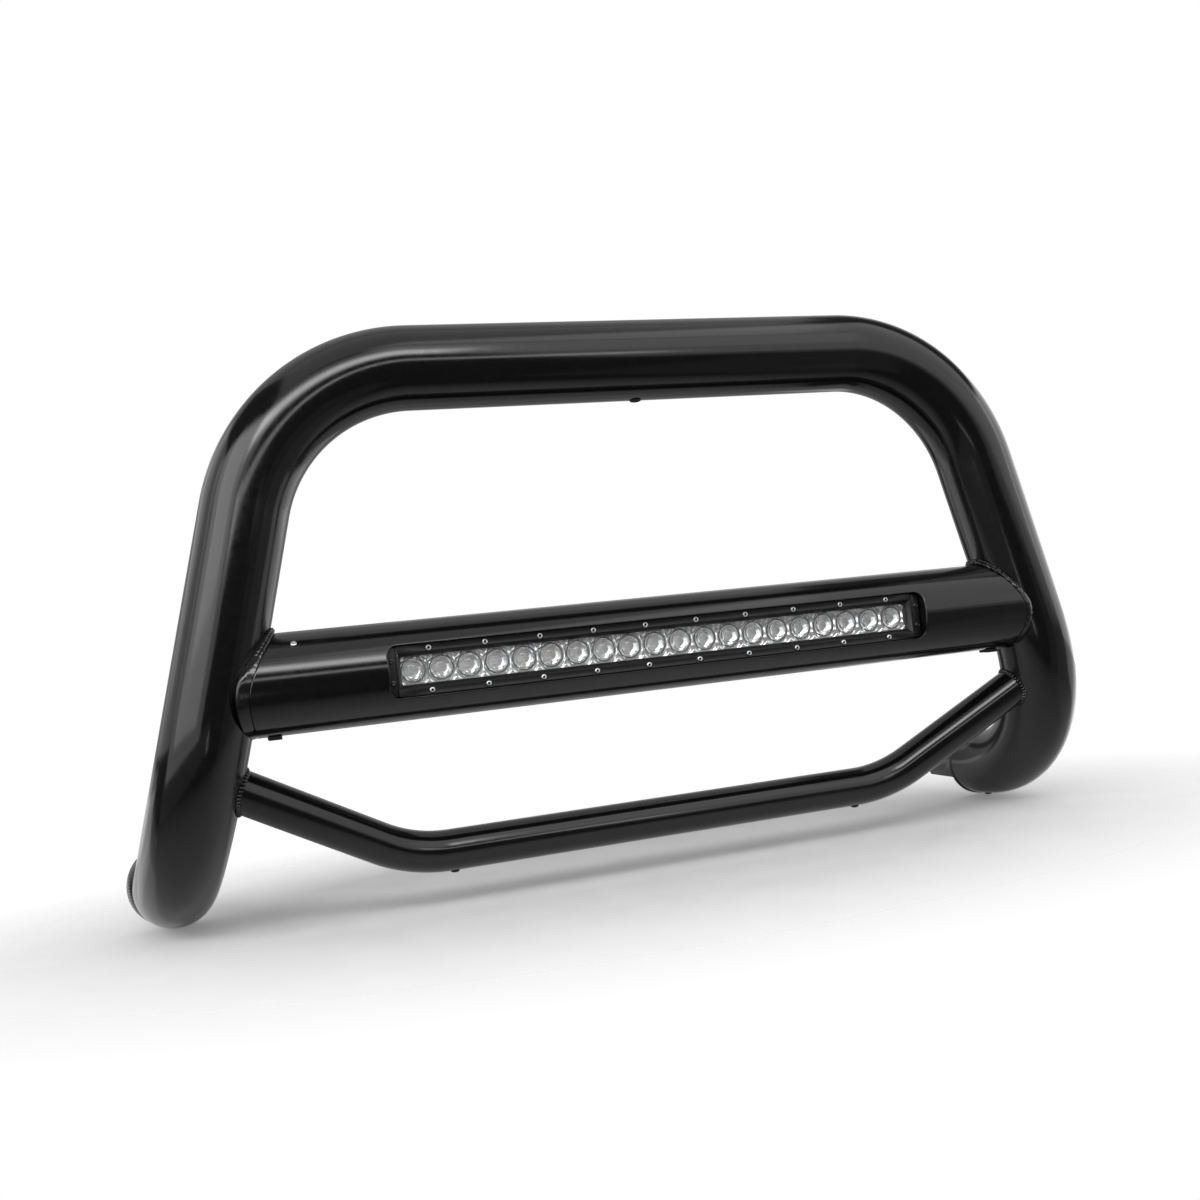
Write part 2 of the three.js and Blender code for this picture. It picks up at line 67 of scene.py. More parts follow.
HOOP_R, HOOP_WALL = 38.1, 2.5
HOOP_TOP_Z, HOOP_TOP_HALF = 271.0, 217.0
HOOP_BEND_R, LEG_SPLAY, LEG_LENGTH = 158.0, 14.6, 178.0
ARM_BEND_R, ARM_LENGTH = 170.0, 8.0
END_PLATE_R, END_PLATE_T, END_PLATE_OUTWARD = 40.2, 4.0, 3.6
GAP = 0.3             # between pieces that touch
CROSS_R, CROSS_WALL = 44.45, 2.5
WINDOW_HALF, WINDOW_HALF_H, WINDOW_CORNER = 266.0, 22.8, 9.0
REAR_SLOT_HALF, REAR_SLOT_HALF_H, REAR_SLOT_CORNER, REAR_SLOT_X = 26.0, 13.0, 8.0, 292.0
LOWER_R, LOWER_WALL = 19.05, 2.0
LOWER_Y, LOWER_Z, LOWER_CORNER_X, LOWER_BEND_R = 40.1, -170.6, 248.2, 129.5
LOWER_MEETS = 18      # degrees round the arm's bend
TAB_X, TAB_T, TAB_HALF_H, TAB_LENGTH, TAB_CHAMFER = 450.0, 6.0, 23.0, 92.0, 9.0
SLOT_HALF_W, SLOT_HALF_L, SLOT_PITCH = 6.5, 13.0, 42.0
CELLS, CELL = 20, 25.4
BEZEL_FRONT, BEZEL_BACK, BEZEL_HALF, BEZEL_HALF_H = -32.0, -26.0, 257.9, 22.3
OPEN_HALF, OPEN_HALF_H = 253.4, 12.5
SCREW_ROW, SCREW_SUNK, SCREW_HEAD_R = 18.6, 0.35, 2.45
REFLECTOR_FRONT, REFLECTOR_BACK, REFLECTOR_HALF_H = -22.1, -11.5, 12.4
CAP_FRONT, CAP_INNER, CAP_OUTER, CAP_BOSS, CAP_BOSS_R = -31.6, 258.2, 265.4, 266.0, 7.0
HOUSING_HALF_H, FIN_TIP = 21.4, 26.0
CAP_SCREW_X, CAP_SCREW_Z, CAP_CHAMFER, PIVOT_SEAT = 262.0, 9.5, 6.0, 269.5
SIDES = ((-1, "left"), (1, "right"))
CORNERS = ((-1, -1), (1, -1), (1, 1), (-1, 1))


# ---------- materials ----------
class Nodes:
    """A material's node tree with short ways to add and join nodes."""

    def __init__(self, name):
        self.material = bpy.data.materials.new(name)
        self.material.use_nodes = True
        self.tree = self.material.node_tree
        self.shader = self.tree.nodes["Principled BSDF"]
        self.where = self.tree.nodes.new("ShaderNodeTexCoord").outputs["Object"]

    def new(self, kind, **values):
        node = self.tree.nodes.new(kind)
        for key, value in values.items():
            setattr(node, key, value)
        return node

    def link(self, source, target):
        self.tree.links.new(source, target)

    def noise(self, size_mm, detail=3.0, rough=0.55, stretch=None):
        where = self.where
        if stretch:
            mapping = self.new("ShaderNodeMapping")
            mapping.inputs["Scale"].default_value = stretch
            self.link(where, mapping.inputs["Vector"])
            where = mapping.outputs["Vector"]
        node = self.new("ShaderNodeTexNoise")
        node.inputs["Scale"].default_value = 1 / (size_mm * MM)
        node.inputs["Detail"].default_value = detail
        node.inputs["Roughness"].default_value = rough
        self.link(where, node.inputs["Vector"])
        return node.outputs["Fac"]

    def ramp(self, value, low, high, start=0.35, end=0.65):
        node = self.new("ShaderNodeMapRange")
        for key, number in zip(("From Min", "From Max", "To Min", "To Max"), (start, end, low, high)):
            node.inputs[key].default_value = number
        self.link(value, node.inputs["Value"])
        return node.outputs["Result"]

    def blend(self, value, dark, light):
        node = self.new("ShaderNodeValToRGB")
        node.color_ramp.elements[0].position = 0.35
        node.color_ramp.elements[1].position = 0.65
        node.color_ramp.elements[0].color = (*dark, 1)
        node.color_ramp.elements[1].color = (*light, 1)
        self.link(value, node.inputs["Fac"])
        return node.outputs["Color"]

    def bump(self, heights):
        """Adds bumps: each height is a texture, its depth in mm and its strength."""
        normal = None
        for value, depth_mm, strength in heights:
            node = self.new("ShaderNodeBump")
            node.inputs["Strength"].default_value = strength
            node.inputs["Distance"].default_value = depth_mm * MM
            self.link(value, node.inputs["Height"])
            if normal is not None:
                self.link(normal, node.inputs["Normal"])
            normal = node.outputs["Normal"]
        self.link(normal, self.shader.inputs["Normal"])

    def set(self, **values):
        for key, value in values.items():
            self.shader.inputs[key.replace("_", " ")].default_value = value

    def color(self, socket):
        self.link(socket, self.shader.inputs["Base Color"])

    def roughness(self, socket):
        self.link(socket, self.shader.inputs["Roughness"])


def powder_coat():
    n = Nodes("powder_coat")
    n.set(Metallic=0.0, IOR=1.5)
    n.color(n.blend(n.noise(9.0, 4.0), (0.0016, 0.0016, 0.0017), (0.0028, 0.0028, 0.0029)))
    n.roughness(n.ramp(n.noise(5.0, 3.0), 0.11, 0.15))
    n.bump([(n.noise(2.6, 2.0), 0.012, 0.3), (n.noise(0.45, 2.0), 0.004, 0.3)])
    return n.material


def weld_coat():
    n = Nodes("weld_coat")
    n.set(Metallic=0.0, IOR=1.5)
    n.color(n.blend(n.noise(3.0, 4.0), (0.0035, 0.0035, 0.0037), (0.0058, 0.0058, 0.006)))
    n.roughness(n.ramp(n.noise(2.0, 3.0), 0.10, 0.16))
    n.bump([(n.noise(1.6, 3.0), 0.08, 0.5), (n.noise(0.4, 2.0), 0.01, 0.4)])
    return n.material


def black_alloy():
    n = Nodes("black_alloy")
    n.set(Metallic=0.0, IOR=1.45)
    n.color(n.blend(n.noise(4.0, 4.0), (0.0038, 0.0038, 0.0040), (0.0062, 0.0062, 0.0064)))
    n.roughness(n.ramp(n.noise(1.4, 3.0), 0.33, 0.45))
    n.bump([(n.noise(0.35, 3.0), 0.012, 0.6), (n.noise(3.0, 2.0), 0.01, 0.3)])
    return n.material


def chrome():
    n = Nodes("reflector_chrome")
    n.set(Metallic=0.8)
    n.color(n.blend(n.noise(7.0, 3.0), (0.84, 0.84, 0.85), (0.93, 0.93, 0.94)))
    n.roughness(n.ramp(n.noise(2.0, 3.0), 0.05, 0.10))
    n.bump([(n.noise(3.2, 2.0), 0.03, 0.25), (n.noise(0.5, 2.0), 0.003, 0.3)])
    return n.material


def steel():
    n = Nodes("screw_steel")
    n.set(Metallic=1.0)
    bright = n.blend(n.noise(1.2, 4.0), (0.72, 0.72, 0.73), (0.88, 0.88, 0.89))
    # Inside a screw's socket the colour is mixed towards near black: painted shade in the hexagon socket.
    mix = n.new("ShaderNodeMix", data_type="RGBA")
    n.link(n.new("ShaderNodeAttribute", attribute_name="painted_socket_shade").outputs["Fac"], mix.inputs["Factor"])
    n.link(bright, mix.inputs["A"])
    mix.inputs["B"].default_value = (0.03, 0.03, 0.032, 1)
    n.color(mix.outputs["Result"])
    n.roughness(n.ramp(n.noise(0.6, 3.0), 0.26, 0.38))
    n.bump([(n.noise(0.25, 3.0), 0.006, 0.6)])
    return n.material


def black_steel():
    n = Nodes("black_oxide_steel")
    n.set(Metallic=1.0)
    n.color(n.blend(n.noise(0.9, 4.0), (0.05, 0.05, 0.052), (0.10, 0.10, 0.105)))
    n.roughness(n.ramp(n.noise(0.6, 3.0), 0.18, 0.3))
    n.bump([(n.noise(0.25, 3.0), 0.006, 0.6)])
    return n.material


def rubber():
    n = Nodes("black_rubber")
    n.set(Metallic=0.0, IOR=1.45)
    n.color(n.blend(n.noise(2.5, 4.0), (0.008, 0.008, 0.008), (0.014, 0.014, 0.014)))
    n.roughness(n.ramp(n.noise(1.0, 3.0), 0.62, 0.8))
    n.bump([(n.noise(0.3, 4.0), 0.02, 0.7)])
    return n.material


def board():
    n = Nodes("board_white")
    n.set(Metallic=0.0)
    n.color(n.blend(n.noise(3.0, 4.0), (0.62, 0.62, 0.60), (0.74, 0.74, 0.72)))
    n.roughness(n.ramp(n.noise(1.0, 3.0), 0.4, 0.55))
    n.bump([(n.noise(0.3, 3.0), 0.01, 0.5)])
    return n.material


def clear_cover():
    n = Nodes("lens_clear")
    n.set(Metallic=0.0, IOR=1.5, Alpha=0.04)
    n.color(n.blend(n.noise(20.0, 2.0), (0.86, 0.87, 0.87), (0.92, 0.93, 0.93)))
    n.roughness(n.ramp(n.noise(12.0, 2.0), 0.02, 0.05))
    n.bump([(n.noise(14.0, 2.0), 0.02, 0.3)])
    return n.material


def projector_glass():
    n = Nodes("projector_glass")
    n.set(Metallic=0.0, IOR=1.49, Roughness=0.0)
    n.shader.inputs["Transmission Weight"].default_value = 1.0
    n.color(n.blend(n.noise(9.0, 2.0), (0.95, 0.96, 0.96), (0.99, 0.99, 0.99)))
    n.bump([(n.noise(4.0, 2.0), 0.01, 0.25)])
    return n.material


COAT, WELD, ALLOY, CHROME = powder_coat(), weld_coat(), black_alloy(), chrome()
STEEL, BLACK_STEEL = steel(), black_steel()
RUBBER, BOARD, CLEAR, GLASS = rubber(), board(), clear_cover(), projector_glass()


# ---------- mesh helpers ----------
def raw_object(name, points, faces):
    """A mesh object from points in millimetres about the cross tube's axis."""
    mesh = bpy.data.meshes.new(name)
    mesh.from_pydata((np.asarray(points, float) * MM + AXIS).tolist(), [], faces)
    bm = bmesh.new()
    bm.from_mesh(mesh)
    bmesh.ops.remove_doubles(bm, verts=bm.verts, dist=1e-7)
    bmesh.ops.recalc_face_normals(bm, faces=bm.faces)
    bm.to_mesh(mesh)
    bm.free()
    obj = bpy.data.objects.new(name, mesh)
    bpy.context.scene.collection.objects.link(obj)
    return obj


def piece(obj, body, slot, material, *nodes, sharp=30.0):
    """Finishes an object as a piece of the part, standing for the CAD nodes named."""
    obj.data.shade_smooth()
    obj.data.set_sharp_from_angle(angle=math.radians(sharp))
    obj.data.materials.clear()
    obj.data.materials.append(material)
    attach(obj, body)
    if nodes:
        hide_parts(*nodes)
    return obj


def apply_modifiers(obj):
    bpy.context.view_layer.update()
    graph = bpy.context.evaluated_depsgraph_get()
    mesh = bpy.data.meshes.new_from_object(obj.evaluated_get(graph))
    obj.modifiers.clear()
    old = obj.data
    obj.data = mesh
    bpy.data.meshes.remove(old)
    return obj


def cut(obj, *cutters, join=False):
    """Cuts the cutters out of an object, or joins them to it, and removes them."""
    for cutter in cutters:
        step = obj.modifiers.new("cut", "BOOLEAN")
        step.operation = "UNION" if join else "DIFFERENCE"
        step.solver = "EXACT"
        step.object = cutter
    apply_modifiers(obj)
    for cutter in cutters:
        bpy.data.objects.remove(cutter)
    return obj


def bevel(obj, width_mm, segments=2, angle=30.0):
    step = obj.modifiers.new("bevel", "BEVEL")
    step.width = width_mm * MM
    step.segments = segments
    step.limit_method = "ANGLE"
    step.angle_limit = math.radians(angle)
    step.miter_outer = "MITER_ARC"
    return apply_modifiers(obj)


def joined(name, *objects):
    """One object from several, which are removed."""
    bm = bmesh.new()
    for obj in objects:
        bm.from_mesh(obj.data)
    mesh = bpy.data.meshes.new(name)
    bm.to_mesh(mesh)
    bm.free()
    for obj in objects:
        bpy.data.objects.remove(obj)
    made = bpy.data.objects.new(name, mesh)
    bpy.context.scene.collection.objects.link(made)
    return made


def grid_faces(rows, columns, wrap_rows=False, wrap_columns=True, start=0):
    faces = []
    for i in range(rows if wrap_rows else rows - 1):
        for j in range(columns if wrap_columns else columns - 1):
            a, b = i * columns, (i + 1) % rows * columns
            k = (j + 1) % columns
            faces.append((start + a + j, start + a + k, start + b + k, start + b + j))
    return faces


def lathe(name, profile, centre, axis, sides=32):
    """A closed solid of revolution: profile points are (radius, distance along the axis)."""
    axis = Vector(axis).normalized()
    across = axis.orthogonal().normalized()
    other = axis.cross(across)
    points = []
    for r, h in profile:
        for j in range(sides):
            a = 2 * math.pi * j / sides
            points.append(Vector(centre) + axis * h + (across * math.cos(a) + other * math.sin(a)) * r)
    faces = grid_faces(len(profile), sides)
    return raw_object(name, points, faces)


def prism(name, outline, low, high, along):
    """A solid with an outline of 2-D points, extruded along X ([y, z]), Y ([x, z]) or Z ([x, y])."""
    count = len(outline)
    place = {"x": lambda u, v, e: (e, u, v), "y": lambda u, v, e: (u, e, v), "z": lambda u, v, e: (u, v, e)}
    points = [place[along](u, v, e) for e in (low, high) for u, v in outline]
    faces = [tuple(range(count)), tuple(range(count, 2 * count))]
    faces += [(i, (i + 1) % count, count + (i + 1) % count, count + i) for i in range(count)]
    return raw_object(name, points, faces)


def rounded_outline(half, half_h, corner, steps=8, centre=(0.0, 0.0)):
    outline = []
    for sx, sz, begin in ((1, -1, -90), (1, 1, 0), (-1, 1, 90), (-1, -1, 180)):
        for i in range(steps + 1):
            a = math.radians(begin + 90 * i / steps)
            outline.append((
                centre[0] + sx * (half - corner) + corner * math.cos(a),
                centre[1] + sz * (half_h - corner) + corner * math.sin(a),
            ))
    return outline


# ---------- the three tubes' centre lines ----------
def unit(v):
    return v / np.linalg.norm(v)


def bend(start, heading, turned, radius, steps):
    """Points and headings round a bend from one heading to another."""
    angle = math.acos(float(np.clip(heading @ turned, -1, 1)))
    inward = unit(turned - heading * (heading @ turned))
    stations = []
    for i in range(steps + 1):
        a = angle * i / steps
        point = start + radius * math.sin(a) * heading + radius * (1 - math.cos(a)) * inward
        stations.append((point, math.cos(a) * heading + math.sin(a) * inward))
    return stations


def both_sides(half):
    flip = np.array([-1.0, 1.0, 1.0])
    return [(p * flip, -t * flip) for p, t in reversed(half)] + half


SPLAY = math.radians(LEG_SPLAY)
LEG = np.array([math.sin(SPLAY), 0.0, -math.cos(SPLAY)])
BACK = np.array([0.0, 1.0, 0.0])
RIGHT = np.array([1.0, 0.0, 0.0])
top_bend = bend(np.array([HOOP_TOP_HALF, 0.0, HOOP_TOP_Z]), RIGHT, LEG, HOOP_BEND_R, 48)
LEG_BOTTOM = top_bend[-1][0] + LEG * LEG_LENGTH
leg_run = [(top_bend[-1][0] + LEG * LEG_LENGTH * i / 12, LEG) for i in range(1, 12)]
arm_bend = bend(LEG_BOTTOM, LEG, BACK, ARM_BEND_R, 60)
ARM_END = arm_bend[-1][0] + BACK * ARM_LENGTH
HOOP = both_sides(top_bend + leg_run + arm_bend + [(ARM_END, BACK)])

landing = bend(LEG_BOTTOM, LEG, BACK, ARM_BEND_R, 90)[LOWER_MEETS][0]
corner = np.array([LOWER_CORNER_X, LOWER_Y, LOWER_Z])
RISE = unit(landing - corner)
set_back = LOWER_BEND_R * math.tan(math.acos(float(RISE @ RIGHT)) / 2)
lower_bend = bend(corner - RIGHT * set_back, RIGHT, RISE, LOWER_BEND_R, 24)
lower_end = lower_bend[-1][0]
lower_run = [(lower_end + (landing - lower_end) * i / 8, RISE) for i in range(1, 9)]
LOWER = both_sides(lower_bend + lower_run)


def dense(stations, spacing=1.0):
    points = [stations[0][0]]
    for (a, _), (b, _) in zip(stations, stations[1:]):
        count = max(1, int(np.linalg.norm(b - a) / spacing))
        points += [a + (b - a) * i / count for i in range(1, count + 1)]
    return np.array(points)


HOOP_AXIS = dense(HOOP)


def above_hoop(point):
    """How far a point is outside the hoop's surface."""
    return float(np.linalg.norm(HOOP_AXIS - point, axis=1).min()) - HOOP_R


def nearest_on_hoop(point):
    """The hoop's outward direction at a point near its surface."""
    axis = HOOP_AXIS[np.linalg.norm(HOOP_AXIS - point, axis=1).argmin()]
    return unit(point - axis)


def slide_to_hoop(point, direction, reach=60.0):
    """Moves a point back or forth along a direction until it lies on the hoop's surface."""
    low, high, farthest = -reach, reach, -400
    while above_hoop(point + direction * low) < 0 and low > farthest:
        low -= 20
    steps = np.linspace(low, high, 90)
    values = [above_hoop(point + direction * s) for s in steps]
    for a, b, va, vb in zip(steps, steps[1:], values, values[1:]):
        if va > 0 >= vb:
            for _ in range(24):
                middle = (a + b) / 2
                if above_hoop(point + direction * middle) > 0:
                    a = middle
                else:
                    b = middle
            return point + direction * a
    return None


def rings(stations, radius, sides):
    """Rings of points round a path, without twist."""
    tangents = [t for _, t in stations]
    side = unit(np.cross(tangents[0], np.array([0.0, 0.3, 1.0])))
    made = []
    for point, tangent in stations:
        side = unit(side - tangent * (side @ tangent))
        other = np.cross(tangent, side)
        a = 2 * np.pi * np.arange(sides) / sides
        made.append(point + radius * (np.cos(a)[:, None] * side + np.sin(a)[:, None] * other))
    return made


def tube(name, stations, outer, wall, sides, ends=None):
    """A hollow tube along a path; ends may move the points of each end ring."""
    skins = [rings(stations, outer, sides), rings(stations, outer - wall, sides)]
    if ends:
        skins = [ends(skin) for skin in skins]
    count = len(stations)
    points = np.vstack([np.vstack(skin) for skin in skins])
    inner = count * sides
    faces = grid_faces(count, sides) + grid_faces(count, sides, start=inner)
    for row in (0, count - 1):
        a = row * sides
        faces += [(a + j, a + (j + 1) % sides, inner + a + (j + 1) % sides, inner + a + j)
                  for j in range(sides)]
    return raw_object(name, points, faces)


# ---------- the hoop ----------
piece(tube("main_hoop", HOOP, HOOP_R, HOOP_WALL, 96), "guard", "black_powder_coat", COAT, "hoop_tube")


# ---------- the cross tube ----------
def leg_axis_x(z):
    """The leg's axis, carried on in a straight line, at a height near the cross tube."""
    return LEG_BOTTOM[0] + (LEG_BOTTOM[2] - z) * math.tan(SPLAY)


def beside_leg(inside, y, z, side):
    """A point a distance inside the leg's axis, measured square to it."""
    return np.array([side * (leg_axis_x(z) - inside / math.cos(SPLAY)), y, z])


# The weld's edge on the cross tube and its edge on the leg: how far inside the leg's axis each is in
# front, and how much further above and below.
TUBE_TOE, TUBE_TOE_RISE = 26.5, 15.0
LEG_TOE, LEG_TOE_RISE, LEG_TOE_HALF = 15.3, 21.5, 49.0
CROSS_SIDES = 72
CROSS_STEPS = 12
OPENING_ROUND = 2.3


def tube_toe(angle, radius, side):
    inside = TUBE_TOE + TUBE_TOE_RISE * abs(math.sin(angle)) ** 1.7
    return beside_leg(inside, -radius * math.cos(angle), radius * math.sin(angle), side)


def leg_toe(angle, side):
    inside = LEG_TOE + LEG_TOE_RISE * abs(math.sin(angle)) ** 1.6
    y = -math.copysign(math.sqrt(HOOP_R ** 2 - inside ** 2), math.cos(angle))
    z = LEG_TOE_HALF * math.sin(angle)
    sunk = max(LEG_BOTTOM[2] - z, 0.0)
    back = ARM_BEND_R - math.sqrt(ARM_BEND_R ** 2 - sunk ** 2)
    return beside_leg(inside, y + back, z, side)


def cross_tube():
    angles = 2 * np.pi * np.arange(CROSS_SIDES) / CROSS_SIDES
    skins = []
    for radius in (CROSS_R, CROSS_R - CROSS_WALL):
        left = np.array([tube_toe(a, radius, -1) for a in angles])
        right = np.array([tube_toe(a, radius, 1) for a in angles])
        skins.append(np.vstack([left + (right - left) * i / CROSS_STEPS for i in range(CROSS_STEPS + 1)]))
    count = (CROSS_STEPS + 1) * CROSS_SIDES
    faces = grid_faces(CROSS_STEPS + 1, CROSS_SIDES)
    faces += grid_faces(CROSS_STEPS + 1, CROSS_SIDES, start=count)
    for row in (0, count - CROSS_SIDES):
        for j in range(CROSS_SIDES):
            k = (j + 1) % CROSS_SIDES
            faces.append((row + j, row + k, count + row + k, count + row + j))
    obj = raw_object("cross_bar", np.vstack(skins), faces)
    past = CROSS_R + 5
    window = prism("window", rounded_outline(WINDOW_HALF, WINDOW_HALF_H, WINDOW_CORNER, 10), -past, 0, "y")
    slots = []
    for x in (-REAR_SLOT_X, 0.0, REAR_SLOT_X):
        shape = rounded_outline(REAR_SLOT_HALF, REAR_SLOT_HALF_H, REAR_SLOT_CORNER, 8, (x, 0))
        slots.append(prism("slot", shape, 20, past, "y"))
    cut(obj, window, *slots)
    soften_openings(obj)
    piece(obj, "guard", "black_powder_coat", COAT, "cross_tube", sharp=46)
    round_normals(obj)


def soften_openings(obj):
    """Rounds the openings' outer edges generously, and their inner edges a little."""
    sharp, inner_share = math.radians(35), 0.08
    bm = bmesh.new()
    bm.from_mesh(obj.data)
    weight = bm.edges.layers.float.new("bevel_weight_edge")
    reach = [math.hypot(v.co.y - AXIS[1], v.co.z - AXIS[2]) / MM for v in bm.verts]
    bm.verts.index_update()
    for edge in bm.edges:
        if len(edge.link_faces) == 2 and edge.calc_face_angle() > sharp:
            outer = min(reach[v.index] for v in edge.verts) > CROSS_R - 0.3
            edge[weight] = 1.0 if outer else inner_share
    bm.to_mesh(obj.data)
    bm.free()
    step = obj.modifiers.new("bevel", "BEVEL")
    step.width = OPENING_ROUND * MM
    step.segments = 9
    step.profile = 0.68
    step.limit_method = "WEIGHT"
    step.use_clamp_overlap = False
    step.miter_outer = "MITER_ARC"
    apply_modifiers(obj)


def round_normals(obj):
    """Gives the cross tube's skins the exact normals of a cylinder, and leaves its edges."""
    mesh = obj.data
    co = np.array([v.co for v in mesh.vertices]) - AXIS
    radius = np.hypot(co[:, 1], co[:, 2]) / MM
    normals = [Vector(c.vector) for c in mesh.corner_normals]
    flat, slack, upright = math.cos(math.pi / CROSS_SIDES), 0.01, 0.05
    for face in mesh.polygons:
        r = radius[list(face.vertices)]
        for target, sign in ((CROSS_R, 1), (CROSS_R - CROSS_WALL, -1)):
            on_skin = r.min() > target * flat - slack and r.max() < target + slack
            if on_skin and abs(face.normal.x) < upright:
                for loop in face.loop_indices:
                    p = co[mesh.loops[loop].vertex_index]
                    normals[loop] = Vector((0.0, p[1], p[2])).normalized() * sign
    mesh.normals_split_custom_set([tuple(v) for v in normals])


cross_tube()


# ---------- the lower tube ----------
def lower_ends(skin):
    for row, heading in ((0, -1), (-1, 1)):
        direction = RISE * np.array([heading, 1.0, 1.0])
        moved = [slide_to_hoop(p, direction) for p in skin[row]]
        skin[row] = np.array([m if m is not None else p for m, p in zip(moved, skin[row])])
    return skin


piece(tube("lower_bar", LOWER, LOWER_R, LOWER_WALL, 64, lower_ends),
      "guard", "black_powder_coat", COAT, "lower_tube")


# ---------- weld beads ----------
def bead(name, curve, outward, radius, ripple, pitch):
    """A rippled bead along a closed curve; outward is the direction that it stands towards."""
    curve = np.array(curve)
    steps = np.linalg.norm(np.roll(curve, -1, 0) - curve, axis=1)
    along = np.concatenate([[0], np.cumsum(steps)[:-1]])
    total = steps.sum()
    waves, per_wave, sides = max(8, round(total / pitch)), 6, 14
    count = waves * per_wave
    at = total * np.arange(count) / count
    closed = np.vstack([curve, curve[:1]])
    track = np.append(along, total)
    p = np.stack([np.interp(at, track, closed[:, i]) for i in range(3)], 1)
    up = np.vstack([outward, outward[:1]])
    up = np.stack([np.interp(at, track, up[:, i]) for i in range(3)], 1)
    tangent = np.roll(p, -1, 0) - np.roll(p, 1, 0)
    tangent /= np.linalg.norm(tangent, axis=1)[:, None]
    up -= tangent * (up * tangent).sum(1)[:, None]
    up /= np.linalg.norm(up, axis=1)[:, None]
    across = np.cross(tangent, up)
    phase = (at / total * waves) % 1.0
    swell = 1 + ripple * (np.abs(np.sin(np.pi * phase)) ** 0.7 - 0.5)
    points = []
    for j in range(sides):
        a = 2 * np.pi * j / sides
        lean = tangent * (ripple * radius * 0.6 * math.cos(a))
        points.append(p + (up * math.cos(a) + across * math.sin(a)) * (radius * swell)[:, None] - lean)
    points = np.stack(points, 1).reshape(-1, 3)
    return raw_object(name, points, grid_faces(count, sides, wrap_rows=True))


def smooth_step(value, low, high):
    f = min(max((value - low) / (high - low), 0.0), 1.0)
    return f * f * (3 - 2 * f)


# How the weld's surface changes round the joint, by the sine of the angle above the front.
MOUND_FROM, MOUND_FULL = 0.05, 0.6
ROUGH_FROM, ROUGH_FULL = -0.7, -0.1
RIGHT_ROUGHNESS = 2.0
FRONT_EASE, FRONT_WIDTH = 0.85, 20
WELD_ROOT = 2.2
TUBE_CLEAR = 0.02


def cross_weld(side, word):
    """The weld from its edge on the cross tube to its edge on the leg. It's flush in front and below,
    and a mound above. The left one is rough on the mound only, and the right one in front too."""
    count, across = 900, 22
    waves, square = (74, 2 / 7) if side < 0 else (46, 0.8)
    points = []
    for i in range(count):
        a = 2 * math.pi * i / count
        start, end = tube_toe(a, CROSS_R + TUBE_CLEAR, side), leg_toe(a, side)
        radial = np.array([0.0, -math.cos(a), math.sin(a)])
        hoop_out = nearest_on_hoop(end)
        out = unit(radial + hoop_out)
        chord = end - start
        drop = radial * float(chord @ radial)
        run = chord - drop
        raised = rough = smooth_step(math.sin(a), MOUND_FROM, MOUND_FULL)
        if side > 0:
            rough = RIGHT_ROUGHNESS * smooth_step(math.sin(a), ROUGH_FROM, ROUGH_FULL)
        rough *= 1 - FRONT_EASE * max(math.cos(a), 0.0) ** FRONT_WIDTH
        lift = 0.10 * float(np.linalg.norm(chord)) + 0.3
        wander = 0.5 + 0.5 * math.sin(9 * a + side) * math.sin(23 * a + 2.0)
        for j in range(across + 1):
            f = j / across
            flush = (start + run * math.sin(f * math.pi / 2) ** square
                     + drop * (1 - max(math.cos(f * math.pi / 2), 0.0) ** square))
            phase = (i / count * waves + 1.6 * (f - 0.5) ** 2 + 0.25 * wander) % 1.0
            ripple = abs(math.sin(math.pi * phase)) ** 0.5 - 0.7
            arch = math.sin(math.pi * f)
            ridges = abs(math.sin(2 * math.pi * f)) ** 0.8
            seam = (0.5 + 0.6 * wander) * ridges + (0.4 + 0.8 * wander) * ripple * arch ** 0.5
            mound = start + chord * f + out * (lift * arch)
            points.append(flush * (1 - raised) + mound * raised + out * (seam * rough))
        points.append(end - hoop_out * WELD_ROOT)
        points.append(start - radial * WELD_ROOT)
    wide = across + 3
    obj = raw_object(f"cross_weld_{word}", np.array(points), grid_faces(count, wide, wrap_rows=True))
    piece(obj, "guard", "black_powder_coat", WELD, sharp=80)


def lower_bead(side, word):
    """The bead where the lower tube meets the leg's lower bend."""
    count, inset = 120, 0.7
    direction = RISE * np.array([side, 1.0, 1.0])
    centre = landing * np.array([side, 1.0, 1.0])
    across = unit(np.cross(direction, np.array([0.0, 0.0, 1.0])))
    other = np.cross(across, direction)
    curve, outward = [], []
    for i in range(count):
        a = 2 * math.pi * i / count
        radial = across * math.cos(a) + other * math.sin(a)
        p = slide_to_hoop(centre - direction * 70 + radial * LOWER_R, direction, 80)
        curve.append(p - radial * inset)
        outward.append(unit(radial + nearest_on_hoop(p)))
    obj = bead(f"lower_weld_{word}", curve, np.array(outward), 2.3, 0.9, 3.1)
    piece(obj, "guard", "black_powder_coat", WELD, sharp=70)


for side, word in SIDES:
    cross_weld(side, word)
    lower_bead(side, word)


